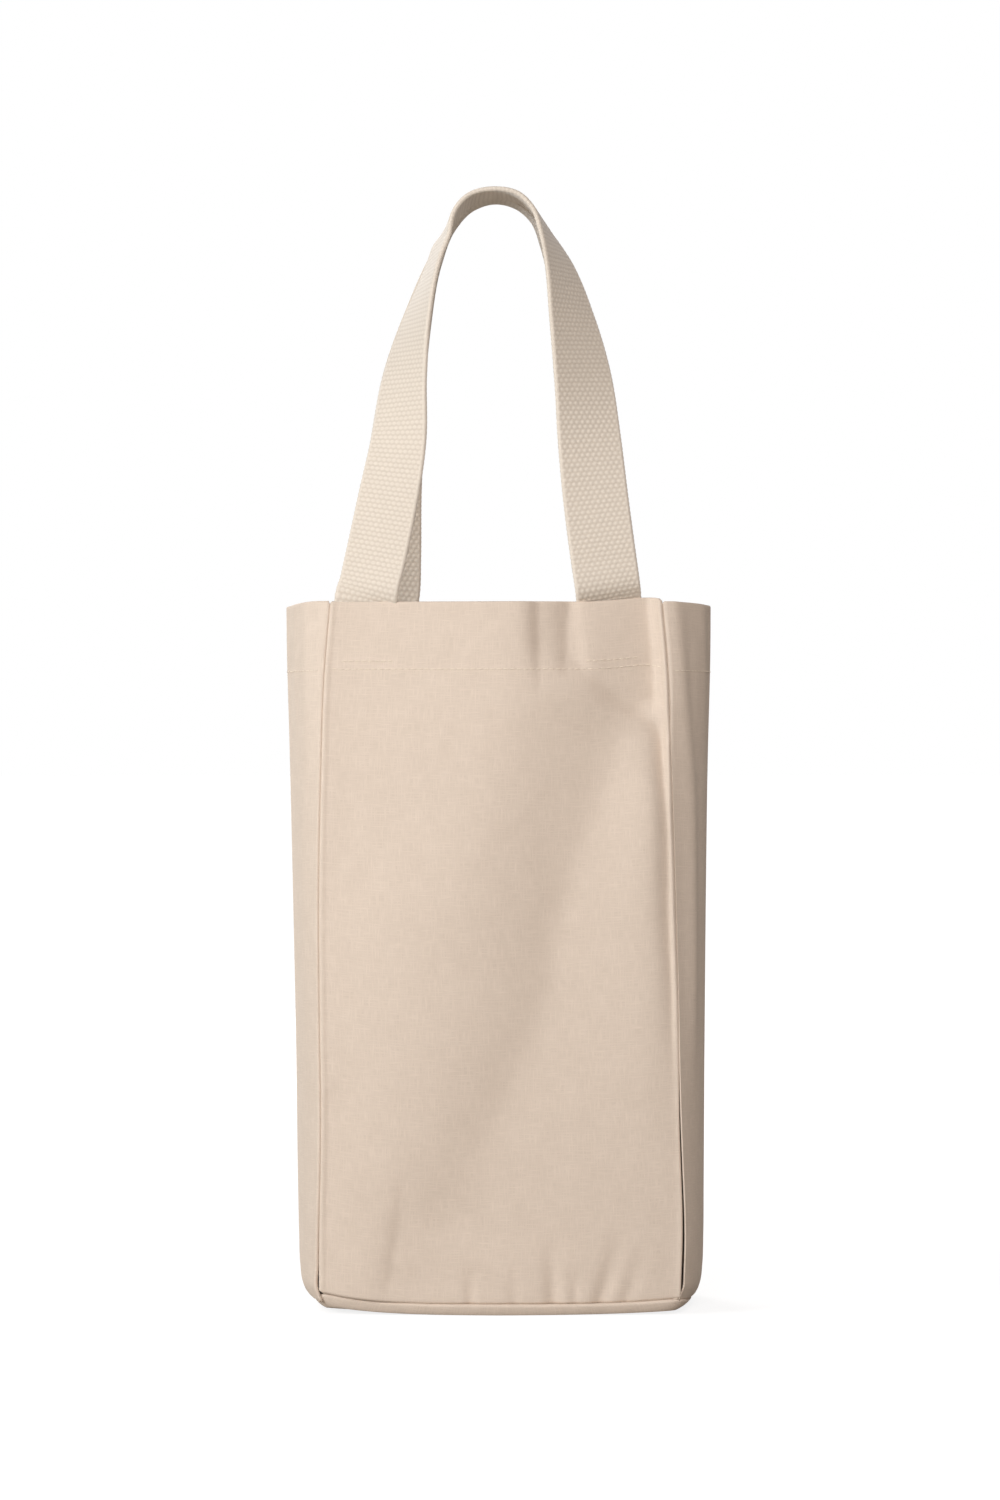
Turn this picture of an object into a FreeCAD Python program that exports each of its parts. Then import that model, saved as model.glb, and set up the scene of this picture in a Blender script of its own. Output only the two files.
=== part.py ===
import FreeCAD, Part
import math
import os
import Sketcher

doc = FreeCAD.newDocument("BottleCarrier")
Vector = FreeCAD.Vector

# Driving sizes in millimetres
SIZES = {
    # Canvas bag
    "panel_width": 176,
    "bag_depth": 95,
    "bag_height": 349,
    "canvas": 0.8,
    "seam_allowance": 7,
    "seam_roll": 1.6,
    "fold_round": 0.35,
    "hem_depth": 33,
    "hem_row_drop": 30.8,
    # Base
    "base_rise": 8,
    "base_round": 7,
    # Side gussets: how far each bulges out, drawn in above the base
    "bulge_foot": 1.6,
    "bulge_ankle": 6.6,
    "bulge": 11.4,
    "ankle_height": 15,
    "full_height": 36,
    # Divider
    "divider_thickness": 1.6,
    "divider_foot": 18,
    "divider_drop": 3,
    "divider_tab": 14,
    "divider_tab_height": 27,
    # Webbing handles
    "webbing_width": 32,
    "webbing_thickness": 2,
    "handle_rise": 204,
    "front_left_inset": 27,
    "front_right_inset": 34.5,
    "back_left_inset": 32,
    "back_right_inset": 31,
    "turn_under": 14,
    "turn_slope": 8,
    "end_margin": 1.2,
    "handle_apart": 0.4,
    "swing_seat": 1.2,
    "swing_gap": 0.35,
    # Sewing thread
    "stitch_pitch": 3.2,
    "stitch_length": 2.4,
    "stitch_width": 0.6,
    "stitch_height": 0.3,
    "tack_span": 26,
    "tack_rise": 3.8,
    "thread": 0.6,
    "thread_inset": 1.4,
    # Clearance left between soft pieces that do not touch
    "clearance": 0.5,
}
sheet = doc.addObject("Spreadsheet::Sheet", "Sizes")
for row, (alias, size) in enumerate(SIZES.items(), start=1):
    sheet.set(f"A{row}", alias)
    sheet.set(f"B{row}", str(size))
    sheet.setAlias(f"B{row}", alias)
doc.recompute()

# Names for sizes derived from the sheet
HALF_WIDTH = "Sizes.panel_width / 2"
HALF_DEPTH = "Sizes.bag_depth / 2"
PANEL_RISE = "(Sizes.bag_height - Sizes.base_rise)"
ROLL_Y = f"({HALF_DEPTH} - Sizes.seam_roll)"
FLANGE_Y = f"({HALF_DEPTH} - Sizes.seam_allowance)"
HEM_Y = f"({HALF_DEPTH} - 2 * Sizes.canvas)"
HEM_Z = "(Sizes.bag_height - Sizes.hem_depth)"
ROW_Z = "(Sizes.bag_height - Sizes.hem_row_drop)"
FLANGE_X = f"({HALF_WIDTH} - Sizes.seam_allowance)"


def size_of(expression):
    return float(sheet.evalExpression(expression))


def origin_of(body, role):
    return next(item for item in body.Origin.OriginFeatures if item.Role == role)


def start_body(label):
    body = doc.addObject("PartDesign::Body", label)
    body.Label = label
    return body


def start_sketch(body, label, role, offset=None):
    """Sketch on an origin plane of the body, moved out along its normal by a bound offset."""
    sketch = body.newObject("Sketcher::SketchObject", label)
    sketch.AttachmentSupport = [(origin_of(body, role), "")]
    sketch.MapMode = "FlatFace"
    if offset:
        sketch.setExpression("AttachmentOffset.Base.z", offset)
    return sketch


def draw_outline(sketch, corners):
    """Closed outline through bound corners.

    A corner is (x, y) when a line leaves it, or (x, y, bulge) when an arc leaves it that
    stands out from its chord by the bulge, to the right of the way the outline runs.
    """
    places = [Vector(size_of(corner[0]), size_of(corner[1]), 0) for corner in corners]
    count = len(corners)
    first = sketch.GeometryCount
    for index, corner in enumerate(corners):
        start = places[index]
        end = places[(index + 1) % count]
        if len(corner) == 2:
            sketch.addGeometry(Part.LineSegment(start, end), False)
            continue
        along = end - start
        aside = Vector(along.y, -along.x, 0)
        aside.normalize()
        through = (start + end) / 2 + aside * size_of(corner[2])
        sketch.addGeometry(Part.Arc(start, through, end), False)
    marks = [end_marks(sketch, first + index, places[index]) for index in range(count)]
    bind_outline(sketch, corners, first, marks)


def end_marks(sketch, edge, start):
    """Point numbers of the start and the end of one edge of the outline."""
    if sketch.getPoint(edge, 1).isEqual(start, 1e-6):
        return 1, 2
    return 2, 1


def bind_outline(sketch, corners, first, marks):
    """Join the edges end to end, then bind each corner's place and each arc's radius."""
    count = len(corners)
    for index, corner in enumerate(corners):
        after = (index + 1) % count
        joined = (first + index, marks[index][1], first + after, marks[after][0])
        sketch.addConstraint(Sketcher.Constraint("Coincident", *joined))
        bind_size(sketch, ("DistanceX", first + index, marks[index][0]), corner[0])
        bind_size(sketch, ("DistanceY", first + index, marks[index][0]), corner[1])
    for index, corner in enumerate(corners):
        if len(corner) == 3:
            nearby = corners[(index + 1) % count]
            chord = f"(({nearby[0]} - ({corner[0]})) ^ 2 + ({nearby[1]} - ({corner[1]})) ^ 2)"
            bulge = f"abs({corner[2]})"
            radius = f"({chord} / 4 + {bulge} ^ 2) / (2 * {bulge})"
            bind_size(sketch, ("Radius", first + index), radius)


def bind_size(sketch, constraint, expression):
    number = sketch.addConstraint(Sketcher.Constraint(*constraint, size_of(expression)))
    sketch.setExpression(f"Constraints[{number}]", expression)


def add_pad(body, label, role, corners, length, offset=None):
    sketch = start_sketch(body, f"{label}_outline", role, offset)
    draw_outline(sketch, corners)
    pad = body.newObject("PartDesign::Pad", label)
    pad.Profile = sketch
    pad.setExpression("Length", length)
    body.Tip = pad
    doc.recompute()
    return pad


def rectangle(left, right, low, high):
    return [(left, low), (right, low), (right, high), (left, high)]


# Canvas panels: turned edges, hem and bottom turning
QUARTER_SHARE = "(1 - sqrt(0.5))"


def panel(label):
    body = start_body(label)
    outer_bulge = f"Sizes.seam_roll * {QUARTER_SHARE}"
    inner_bulge = f"-(Sizes.seam_roll - Sizes.canvas) * {QUARTER_SHARE}"
    roll_x = f"({HALF_WIDTH} - Sizes.seam_roll)"
    inner_x = f"({HALF_WIDTH} - Sizes.canvas)"
    inner_y = f"({HALF_DEPTH} - Sizes.canvas)"
    channel = [
        (f"-{roll_x}", f"-{HALF_DEPTH}"),
        (roll_x, f"-{HALF_DEPTH}", outer_bulge),
        (HALF_WIDTH, f"-{ROLL_Y}"),
        (HALF_WIDTH, f"-{FLANGE_Y}"),
        (inner_x, f"-{FLANGE_Y}"),
        (inner_x, f"-{ROLL_Y}", inner_bulge),
        (roll_x, f"-{inner_y}"),
        (f"-{roll_x}", f"-{inner_y}", inner_bulge),
        (f"-{inner_x}", f"-{ROLL_Y}"),
        (f"-{inner_x}", f"-{FLANGE_Y}"),
        (f"-{HALF_WIDTH}", f"-{FLANGE_Y}"),
        (f"-{HALF_WIDTH}", f"-{ROLL_Y}", outer_bulge),
    ]
    add_pad(body, f"{label}_cloth", "XY_Plane", channel, PANEL_RISE, "Sizes.base_rise")
    hem = rectangle(f"-{roll_x}", roll_x, f"-{inner_y}", f"-{HEM_Y}")
    add_pad(body, f"{label}_hem", "XY_Plane", hem, "Sizes.hem_depth", HEM_Z)
    turning = rectangle(f"-{FLANGE_X}", FLANGE_X, f"-{inner_y}", f"-{FLANGE_Y}")
    add_pad(body, f"{label}_turning", "XY_Plane", turning, "Sizes.canvas", "Sizes.base_rise")
    round_folds(body, f"{label}_folds", "Sizes.bag_height", HALF_DEPTH)
    return body


def round_folds(body, label, height, depth):
    """Round the long outer edge of a fold that lies at one height and depth."""
    base = body.Tip
    folds = []
    for number, edge in enumerate(base.Shape.Edges, start=1):
        box = edge.BoundBox
        level = abs(box.ZMin - size_of(height)) < 1e-6 and abs(box.ZMax - size_of(height)) < 1e-6
        outer = abs(box.YMin + size_of(depth)) < 1e-6 and abs(box.YMax + size_of(depth)) < 1e-6
        if level and outer:
            folds.append(f"Edge{number}")
    fillet = body.newObject("PartDesign::Fillet", label)
    fillet.Base = (base, folds)
    fillet.setExpression("Radius", "Sizes.fold_round")
    body.Tip = fillet
    doc.recompute()


# Side gussets: bulging strips whose edges turn back along the panels' turned edges
def gusset_section(bulge):
    face_x = f"({HALF_WIDTH} + Sizes.canvas)"
    outer_x = f"({HALF_WIDTH} + 2 * Sizes.canvas)"
    nose_share = "0.8"
    nose = f"Sizes.canvas * {nose_share}"
    return [
        (HALF_WIDTH, f"-{ROLL_Y}", nose),
        (outer_x, f"-{ROLL_Y}", bulge),
        (outer_x, ROLL_Y, nose),
        (HALF_WIDTH, ROLL_Y),
        (HALF_WIDTH, FLANGE_Y),
        (face_x, FLANGE_Y),
        (face_x, ROLL_Y, f"-{bulge}"),
        (face_x, f"-{ROLL_Y}"),
        (face_x, f"-{FLANGE_Y}"),
        (HALF_WIDTH, f"-{FLANGE_Y}"),
    ]


def arc_radius(bulge):
    return f"(({ROLL_Y} ^ 2 + {bulge} ^ 2) / (2 * {bulge}))"


def strip_at(bulge, inner_step, outer_step, reach):
    """Curved strip that follows the gusset's inner face, from one step inward to one outward."""
    radius = arc_radius(bulge)
    centre = f"({HALF_WIDTH} + Sizes.canvas + {bulge} - {radius})"
    inner = f"({radius} - {inner_step})"
    outer = f"({radius} + {outer_step})"
    inner_x = f"({centre} + sqrt({inner} ^ 2 - {reach} ^ 2))"
    outer_x = f"({centre} + sqrt({outer} ^ 2 - {reach} ^ 2))"
    return [
        (inner_x, f"-{reach}"),
        (outer_x, f"-{reach}", f"({centre} + {outer} - {outer_x})"),
        (outer_x, reach),
        (inner_x, reach, f"-({centre} + {inner} - {inner_x})"),
    ]


def gusset(label):
    body = start_body(label)
    levels = [
        ("Sizes.bulge_foot", "Sizes.base_rise"),
        ("Sizes.bulge_ankle", "Sizes.ankle_height"),
        ("Sizes.bulge", "Sizes.full_height"),
        ("Sizes.bulge", "Sizes.bag_height"),
    ]
    sections = []
    for number, (bulge, height) in enumerate(levels):
        sketch = start_sketch(body, f"{label}_section_{number}", "XY_Plane", height)
        draw_outline(sketch, gusset_section(bulge))
        sections.append(sketch)
    loft = body.newObject("PartDesign::AdditiveLoft", f"{label}_cloth")
    loft.Profile = sections[0]
    loft.Sections = sections[1:]
    loft.Ruled = True
    body.Tip = loft
    doc.recompute()
    reach = f"({FLANGE_Y} - Sizes.clearance)"
    hem = strip_at("Sizes.bulge", "Sizes.canvas", "Sizes.canvas / 2", reach)
    add_pad(body, f"{label}_hem", "XY_Plane", hem, "Sizes.hem_depth", HEM_Z)
    turning = strip_at("Sizes.bulge_foot", "Sizes.seam_allowance", "Sizes.canvas / 2", reach)
    add_pad(body, f"{label}_turning", "XY_Plane", turning, "Sizes.canvas", "Sizes.base_rise")
    return body


# Base: a shallow tray of canvas with its edges turned in under the seams
def base(label):
    body = start_body(label)
    block = rectangle(f"-{HALF_WIDTH}", HALF_WIDTH, f"-{HALF_DEPTH}", HALF_DEPTH)
    pad = add_pad(body, f"{label}_block", "XY_Plane", block, "Sizes.base_rise")
    floor_edges = []
    for number, edge in enumerate(pad.Shape.Edges, start=1):
        if edge.BoundBox.ZMax < size_of("Sizes.canvas"):
            floor_edges.append(f"Edge{number}")
    fillet = body.newObject("PartDesign::Fillet", f"{label}_round")
    fillet.Base = (pad, floor_edges)
    fillet.setExpression("Radius", "Sizes.base_round")
    body.Tip = fillet
    doc.recompute()
    faces = fillet.Shape.Faces
    top = max(range(len(faces)), key=lambda index: faces[index].CenterOfMass.z)
    tray = body.newObject("PartDesign::Thickness", f"{label}_tray")
    tray.Base = (fillet, [f"Face{top + 1}"])
    tray.setExpression("Value", "Sizes.canvas")
    tray.Reversed = True
    body.Tip = tray
    doc.recompute()
    sketch = start_sketch(body, f"{label}_lip_outline", "XY_Plane", "Sizes.base_rise")
    wall_x = f"({HALF_WIDTH} - Sizes.canvas / 2)"
    wall_y = f"({HALF_DEPTH} - Sizes.canvas / 2)"
    draw_outline(sketch, rectangle(f"-{wall_x}", wall_x, f"-{wall_y}", wall_y))
    draw_outline(sketch, rectangle(f"-{FLANGE_X}", FLANGE_X, f"-{FLANGE_Y}", FLANGE_Y))
    lip = body.newObject("PartDesign::Pad", f"{label}_lip")
    lip.Profile = sketch
    lip.Reversed = True
    lip.setExpression("Length", "Sizes.canvas")
    body.Tip = lip
    doc.recompute()
    return body


# Divider: a double wall whose top corners open into tabs on the hem
def divider(label):
    body = start_body(label)
    half = "(Sizes.divider_thickness / 2)"
    edge_y = f"({HEM_Y} - Sizes.clearance)"
    top = "(Sizes.bag_height - Sizes.divider_drop)"
    wall = rectangle(f"-{half}", half, f"-{edge_y}", edge_y)
    rise = f"{top} - Sizes.divider_foot"
    add_pad(body, f"{label}_wall", "XY_Plane", wall, rise, "Sizes.divider_foot")
    tab_z = f"({top} - Sizes.divider_tab_height)"
    tab_y = f"({HEM_Y} - Sizes.canvas)"
    for side, sign in (("front", "-"), ("back", "")):
        ends = sorted((f"{sign}{HEM_Y}", f"{sign}{tab_y}"), key=size_of)
        tab = rectangle("-Sizes.divider_tab", "Sizes.divider_tab", *ends)
        add_pad(body, f"{label}_{side}_tab", "XY_Plane", tab, "Sizes.divider_tab_height", tab_z)
    return body


# Sewn handle ends: webbing turned under and stitched flat to the inside of the hem
def handle_end(label, leg):
    body = start_body(label)
    hem_y = f"-{HEM_Y}"
    single_y = f"(Sizes.webbing_thickness - {HEM_Y})"
    double_y = f"(2 * Sizes.webbing_thickness - {HEM_Y})"
    turn_z = f"({HEM_Z} + Sizes.end_margin + Sizes.webbing_thickness)"
    under_z = f"({turn_z} + Sizes.turn_under)"
    top_z = "(Sizes.bag_height + Sizes.swing_seat)"
    turn_share = "0.9"
    profile = [
        (hem_y, turn_z, f"Sizes.webbing_thickness * {turn_share}"),
        (double_y, turn_z),
        (double_y, under_z),
        (single_y, f"{under_z} + Sizes.turn_slope"),
        (single_y, top_z),
        (hem_y, top_z),
    ]
    edge_x = f"{leg} - Sizes.webbing_width / 2"
    add_pad(body, f"{label}_strap", "YZ_Plane", profile, "Sizes.webbing_width", edge_x)
    return body


# Handle loops: webbing that leaves the legs flat and twists to lie level along the top
RISE_POWER = 1.48
TWIST_START_SHARE = 0.1
TWIST_END_SHARE = 0.95
QUARTER_STATIONS = 10
STATION_POWER = 1.3


def twist_at(share):
    """Quarter turn that starts and ends softly between two shares of the way to the top."""
    part = (share - TWIST_START_SHARE) / (TWIST_END_SHARE - TWIST_START_SHARE)
    part = min(max(part, 0), 1)
    return part * part * (3 - 2 * part) * math.pi / 2


def handle_loop(label, left_leg, right_leg):
    width = size_of("Sizes.webbing_width")
    thickness = size_of("Sizes.webbing_thickness")
    foot = Vector(0, size_of(f"Sizes.webbing_thickness / 2 - {HEM_Y}"),
                  size_of("Sizes.bag_height + Sizes.swing_seat + Sizes.swing_gap"))
    crown = Vector(0, -size_of("Sizes.webbing_width / 2 + Sizes.handle_apart"),
                   size_of("Sizes.bag_height + Sizes.handle_rise - Sizes.webbing_thickness / 2"))
    across = Vector(1, 0, 0)
    rise = (crown - foot).Length
    upward = (crown - foot).normalize()
    forward = across.cross(upward)
    shares = [(number / QUARTER_STATIONS) ** STATION_POWER for number in range(QUARTER_STATIONS + 1)]
    left_shares = [(share, -1) for share in shares]
    right_shares = [(share, 1) for share in reversed(shares[:-1])]
    wires = []
    for share, side in left_shares + right_shares:
        turn = share * math.pi / 2
        leg = size_of(left_leg if side < 0 else right_leg)
        centre = foot + across * (side * leg * math.cos(turn))
        centre = centre + upward * (rise * math.sin(turn) ** RISE_POWER)
        run = leg * math.sin(turn)
        climb = rise * RISE_POWER * math.sin(turn) ** (RISE_POWER - 1) * math.cos(turn)
        if share == 0:
            climb = rise
        tangent = (across * run - upward * (side * climb)).normalize()
        inward = tangent.cross(forward).normalize()
        twist = twist_at(share)
        sideways = inward * math.cos(twist) + forward * math.sin(twist)
        face = tangent.cross(sideways)
        half_w = sideways * (width / 2)
        half_t = face * (thickness / 2)
        corners = [centre - half_w - half_t, centre + half_w - half_t,
                   centre + half_w + half_t, centre - half_w + half_t]
        wires.append(Part.makePolygon(corners + corners[:1]))
    loop = doc.addObject("Part::Feature", label)
    loop.Label = label
    loop.Shape = Part.makeLoft(wires, True, True)
    return loop


# Stitch rows on the outside of the cloth
def stitch_outline(start_x, row_z):
    return rectangle(start_x, f"{start_x} + Sizes.stitch_length",
                     f"{row_z} - Sizes.stitch_width / 2", f"{row_z} + Sizes.stitch_width / 2")


def repeat_along(body, label, pads, role, span):
    steps = f"floor(({span}) / Sizes.stitch_pitch)"
    row = body.newObject("PartDesign::LinearPattern", label)
    row.Originals = pads
    row.Direction = (origin_of(body, role), [""])
    row.setExpression("Length", f"{steps} * Sizes.stitch_pitch")
    row.setExpression("Occurrences", f"{steps} + 1")
    body.Tip = row
    doc.recompute()


def panel_row(label):
    body = start_body(label)
    reach = f"({HALF_WIDTH} - Sizes.seam_roll - Sizes.stitch_pitch)"
    outline = stitch_outline(f"-{reach}", ROW_Z)
    pad = add_pad(body, f"{label}_stitch", "XZ_Plane", outline, "Sizes.stitch_height", HALF_DEPTH)
    repeat_along(body, f"{label}_row", [pad], "X_Axis", f"2 * {reach} - Sizes.stitch_length")
    return body


def tack_rows(label, left_leg, right_leg):
    body = start_body(label)
    row_z = f"({ROW_Z} + Sizes.tack_rise)"
    pads = []
    for side, leg in (("left", f"-{left_leg}"), ("right", right_leg)):
        outline = stitch_outline(f"({leg} - Sizes.tack_span / 2)", row_z)
        pads.append(add_pad(body, f"{label}_{side}", "XZ_Plane", outline,
                            "Sizes.stitch_height", HALF_DEPTH))
    repeat_along(body, f"{label}_row", pads, "X_Axis", "Sizes.tack_span - Sizes.stitch_length")
    return body


def gusset_row(label):
    body = start_body(label)
    radius = arc_radius("Sizes.bulge")
    crown_x = f"({HALF_WIDTH} + 2 * Sizes.canvas + Sizes.bulge)"
    outline = stitch_outline("-Sizes.stitch_length / 2", ROW_Z)
    pad = add_pad(body, f"{label}_stitch", "YZ_Plane", outline, "Sizes.stitch_height", crown_x)
    middle = start_sketch(body, f"{label}_middle", "XY_Plane")
    middle.setExpression("AttachmentOffset.Base.x", f"{crown_x} - {radius}")
    step = f"(Sizes.stitch_pitch / {radius} * 180 / pi)"
    reach = f"asin(({ROLL_Y} - Sizes.stitch_pitch) / {radius})"
    steps = f"floor({reach} / (1 deg) / {step})"
    for side, turned in (("front", True), ("back", False)):
        row = body.newObject("PartDesign::PolarPattern", f"{label}_{side}")
        row.Originals = [pad]
        row.Axis = (middle, ["N_Axis"])
        row.Reversed = turned
        row.setExpression("Angle", f"{steps} * {step}")
        row.setExpression("Occurrences", f"{steps} + 1")
        body.Tip = row
        doc.recompute()
    return body


# Seam threads lie on the turned edges inside the bag
def thread(label, length, start, direction):
    cord = doc.addObject("Part::Cylinder", label)
    cord.Label = label
    cord.setExpression("Radius", "Sizes.thread / 2")
    cord.setExpression("Height", length)
    cord.Placement = FreeCAD.Placement(Vector(0, 0, 0), FreeCAD.Rotation(Vector(0, 0, 1), direction))
    for axis, expression in zip("xyz", start):
        cord.setExpression(f"Placement.Base.{axis}", expression)
    return cord


def upright_thread(label, side, front):
    edge_x = f"{side}({HALF_WIDTH} - Sizes.canvas - Sizes.thread / 2)"
    edge_y = f"{front}({ROLL_Y} - Sizes.thread_inset)"
    low_z = "(Sizes.base_rise + Sizes.canvas + Sizes.thread)"
    length = f"{HEM_Z} - Sizes.clearance - {low_z}"
    return thread(label, length, (edge_x, edge_y, low_z), Vector(0, 0, 1))


FLOOR_Z = "Sizes.base_rise + Sizes.canvas + Sizes.thread / 2"


def long_thread(label, front):
    reach = f"({FLANGE_X} - Sizes.clearance)"
    edge_y = f"{front}({ROLL_Y} - Sizes.thread_inset)"
    return thread(label, f"2 * {reach}", (f"-{reach}", edge_y, FLOOR_Z), Vector(1, 0, 0))


def short_thread(label, side):
    reach = f"({FLANGE_Y} - 2 * Sizes.clearance)"
    edge_x = f"{side}({HALF_WIDTH} - Sizes.seam_roll - Sizes.thread_inset)"
    return thread(label, f"2 * {reach}", (edge_x, f"-{reach}", FLOOR_Z), Vector(0, 1, 0))


# Build every piece; the ones marked turned face the other way round the bag
HALF_ROUND = FreeCAD.Placement(Vector(0, 0, 0), FreeCAD.Rotation(Vector(0, 0, 1), 180))
FRONT_LEGS = [f"({HALF_WIDTH} - Sizes.front_{side}_inset)" for side in ("left", "right")]
BACK_LEGS = [f"({HALF_WIDTH} - Sizes.back_{side}_inset)" for side in ("right", "left")]
facing = [
    panel("front_panel"),
    gusset("right_gusset"),
    base("base_panel"),
    divider("divider"),
    handle_loop("front_handle", *FRONT_LEGS),
    handle_end("front_left_handle_end", f"-{FRONT_LEGS[0]}"),
    handle_end("front_right_handle_end", FRONT_LEGS[1]),
    panel_row("front_hem_stitching"),
    gusset_row("right_hem_stitching"),
    tack_rows("front_handle_tacks", *FRONT_LEGS),
    upright_thread("front_left_seam_thread", "-", "-"),
    upright_thread("front_right_seam_thread", "", "-"),
    upright_thread("back_left_seam_thread", "-", ""),
    upright_thread("back_right_seam_thread", "", ""),
    long_thread("front_base_thread", "-"),
    long_thread("back_base_thread", ""),
    short_thread("left_base_thread", "-"),
    short_thread("right_base_thread", ""),
]
turned = [
    panel("back_panel"),
    gusset("left_gusset"),
    handle_loop("back_handle", *BACK_LEGS),
    handle_end("back_right_handle_end", f"-{BACK_LEGS[0]}"),
    handle_end("back_left_handle_end", BACK_LEGS[1]),
    panel_row("back_hem_stitching"),
    gusset_row("left_hem_stitching"),
    tack_rows("back_handle_tacks", *BACK_LEGS),
]
for piece in turned:
    piece.Placement = HALF_ROUND
doc.recompute()

# Check everything, then write one file per piece
for item in doc.Objects:
    if "Invalid" in item.State or "Error" in item.State:
        raise RuntimeError(f"{item.Label} did not build")
os.makedirs("parts", exist_ok=True)
for piece in facing + turned:
    if piece.Shape.isNull() or not piece.Shape.isValid():
        raise RuntimeError(f"{piece.Label} is not a sound shape")
    piece.Shape.exportStep(f"parts/{piece.Label}.step")
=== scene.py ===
import math
import bpy
import numpy as np
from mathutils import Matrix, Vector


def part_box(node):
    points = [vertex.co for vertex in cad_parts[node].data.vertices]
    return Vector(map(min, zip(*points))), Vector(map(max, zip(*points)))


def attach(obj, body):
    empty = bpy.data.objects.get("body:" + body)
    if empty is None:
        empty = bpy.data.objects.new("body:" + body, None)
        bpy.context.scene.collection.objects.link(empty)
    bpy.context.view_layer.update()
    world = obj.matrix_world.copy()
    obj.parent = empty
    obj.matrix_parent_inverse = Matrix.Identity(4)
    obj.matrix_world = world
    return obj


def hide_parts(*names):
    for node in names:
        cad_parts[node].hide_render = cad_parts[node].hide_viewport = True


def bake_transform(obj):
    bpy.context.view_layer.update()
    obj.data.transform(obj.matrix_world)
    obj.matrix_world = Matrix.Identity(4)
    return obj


# %% [markdown]
# # Bottle carrier of natural canvas
# The real carrier is cut from cotton canvas and sewn, with two webbing handles. It could be sculpted or
# draped by a cloth simulation. Here each piece is worked out with numpy from its seam lines, because the
# folds have to match one photo. Shapes are in millimetres and turn to metres as they become meshes.

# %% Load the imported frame
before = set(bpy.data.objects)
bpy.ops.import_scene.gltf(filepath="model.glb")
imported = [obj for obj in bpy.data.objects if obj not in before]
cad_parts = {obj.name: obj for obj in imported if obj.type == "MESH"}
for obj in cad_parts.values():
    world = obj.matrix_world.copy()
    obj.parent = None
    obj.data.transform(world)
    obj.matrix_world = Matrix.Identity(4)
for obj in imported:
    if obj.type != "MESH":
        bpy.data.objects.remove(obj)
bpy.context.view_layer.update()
MM = 0.001
HEM_MARGIN = 2.5
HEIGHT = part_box("front_panel")[1].z / MM
FOLD_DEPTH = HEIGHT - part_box("front_hem_stitching")[0].z / MM + HEM_MARGIN
print("frame nodes", len(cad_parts), "bag height", round(HEIGHT, 1))

# %% [markdown]
# ## Camera
# The photo is a level view of the front from a few paces away. A camera can be set by eye or from the
# scale of the photo. Here the lens follows from the distance and from the size of one photo pixel on the
# front plane. The camera comes first, because the handles are drawn as they are seen from it.

# %% Camera
CAMERA_AWAY = 2000.0
CAMERA_HEIGHT = 276.8
CAMERA_ASIDE = 0.7
SENSOR = 36
PIXEL_SIZE = 0.489
PHOTO_HEIGHT = 1500
FRONT_PLANE = -47.5
camera_data = bpy.data.cameras.new("camera")
camera_data.sensor_width = SENSOR
camera_data.lens = SENSOR * (CAMERA_AWAY + FRONT_PLANE) / (PIXEL_SIZE * PHOTO_HEIGHT)
camera = bpy.data.objects.new("camera", camera_data)
camera.location = (CAMERA_ASIDE * MM, -CAMERA_AWAY * MM, CAMERA_HEIGHT * MM)
camera.rotation_euler = (math.pi / 2, 0, 0)
bpy.context.scene.collection.objects.link(camera)
bpy.context.scene.camera = camera
bpy.context.scene.view_settings.view_transform = "Standard"
print("lens", round(camera_data.lens, 1), "mm")


def at_depth(seen_x, seen_z, y):
    """Place at depth y that the camera sees at a place of the front plane: moved along the line of sight."""
    scale = (CAMERA_AWAY + y) / (CAMERA_AWAY + FRONT_PLANE)
    x = CAMERA_ASIDE + (seen_x - CAMERA_ASIDE) * scale
    z = CAMERA_HEIGHT + (seen_z - CAMERA_HEIGHT) * scale
    return np.stack([x, y + 0 * x, z], axis=-1)


# %% [markdown]
# ## Small tools
# Cloth follows smooth lines that are known at a few places only. Blender's curves could carry them, but a
# plain formula can be read at any height, so the lines are cubic pieces. A grid of points then becomes a
# mesh in one go, without a loop over its vertices.

# %% Smooth lines


def through(places, values):
    """Smooth curve through a few places: cubic pieces with the chords' mean slope at each place."""
    places, values = np.asarray(places, float), np.asarray(values, float)
    slopes = np.gradient(values, places)

    def at(place):
        place = np.clip(place, places[0], places[-1])
        before = np.clip(np.searchsorted(places, place) - 1, 0, len(places) - 2)
        gap = places[before + 1] - places[before]
        f = (place - places[before]) / gap
        start = values[before] * (2 * f**3 - 3 * f**2 + 1) + slopes[before] * gap * (f**3 - 2 * f**2 + f)
        end = values[before + 1] * (3 * f**2 - 2 * f**3) + slopes[before + 1] * gap * (f**3 - f**2)
        return start + end

    return at


def ease(share):
    """Soft step: 0 below 0, 1 above 1, and level at both ends."""
    share = np.clip(share, 0, 1)
    return share * share * (3 - 2 * share)


def fade(place, start, full):
    """Soft step over a stretch: 0 at its start and 1 where it is full, either way round.

    A value named as a stretch is such a pair of places.
    """
    return ease((place - start) / (full - start))


def run_along(points):
    """Distance along a line of points, from 0 at the first one."""
    return np.concatenate([[0], np.cumsum(np.linalg.norm(np.diff(points, axis=0), axis=1))])


# %% Meshes from grids


def quads_of(index):
    """Corner numbers of the four-sided faces between the rows and columns of a grid of numbers."""
    return np.stack([index[:-1, :-1], index[:-1, 1:], index[1:, 1:], index[1:, :-1]], axis=-1)


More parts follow.
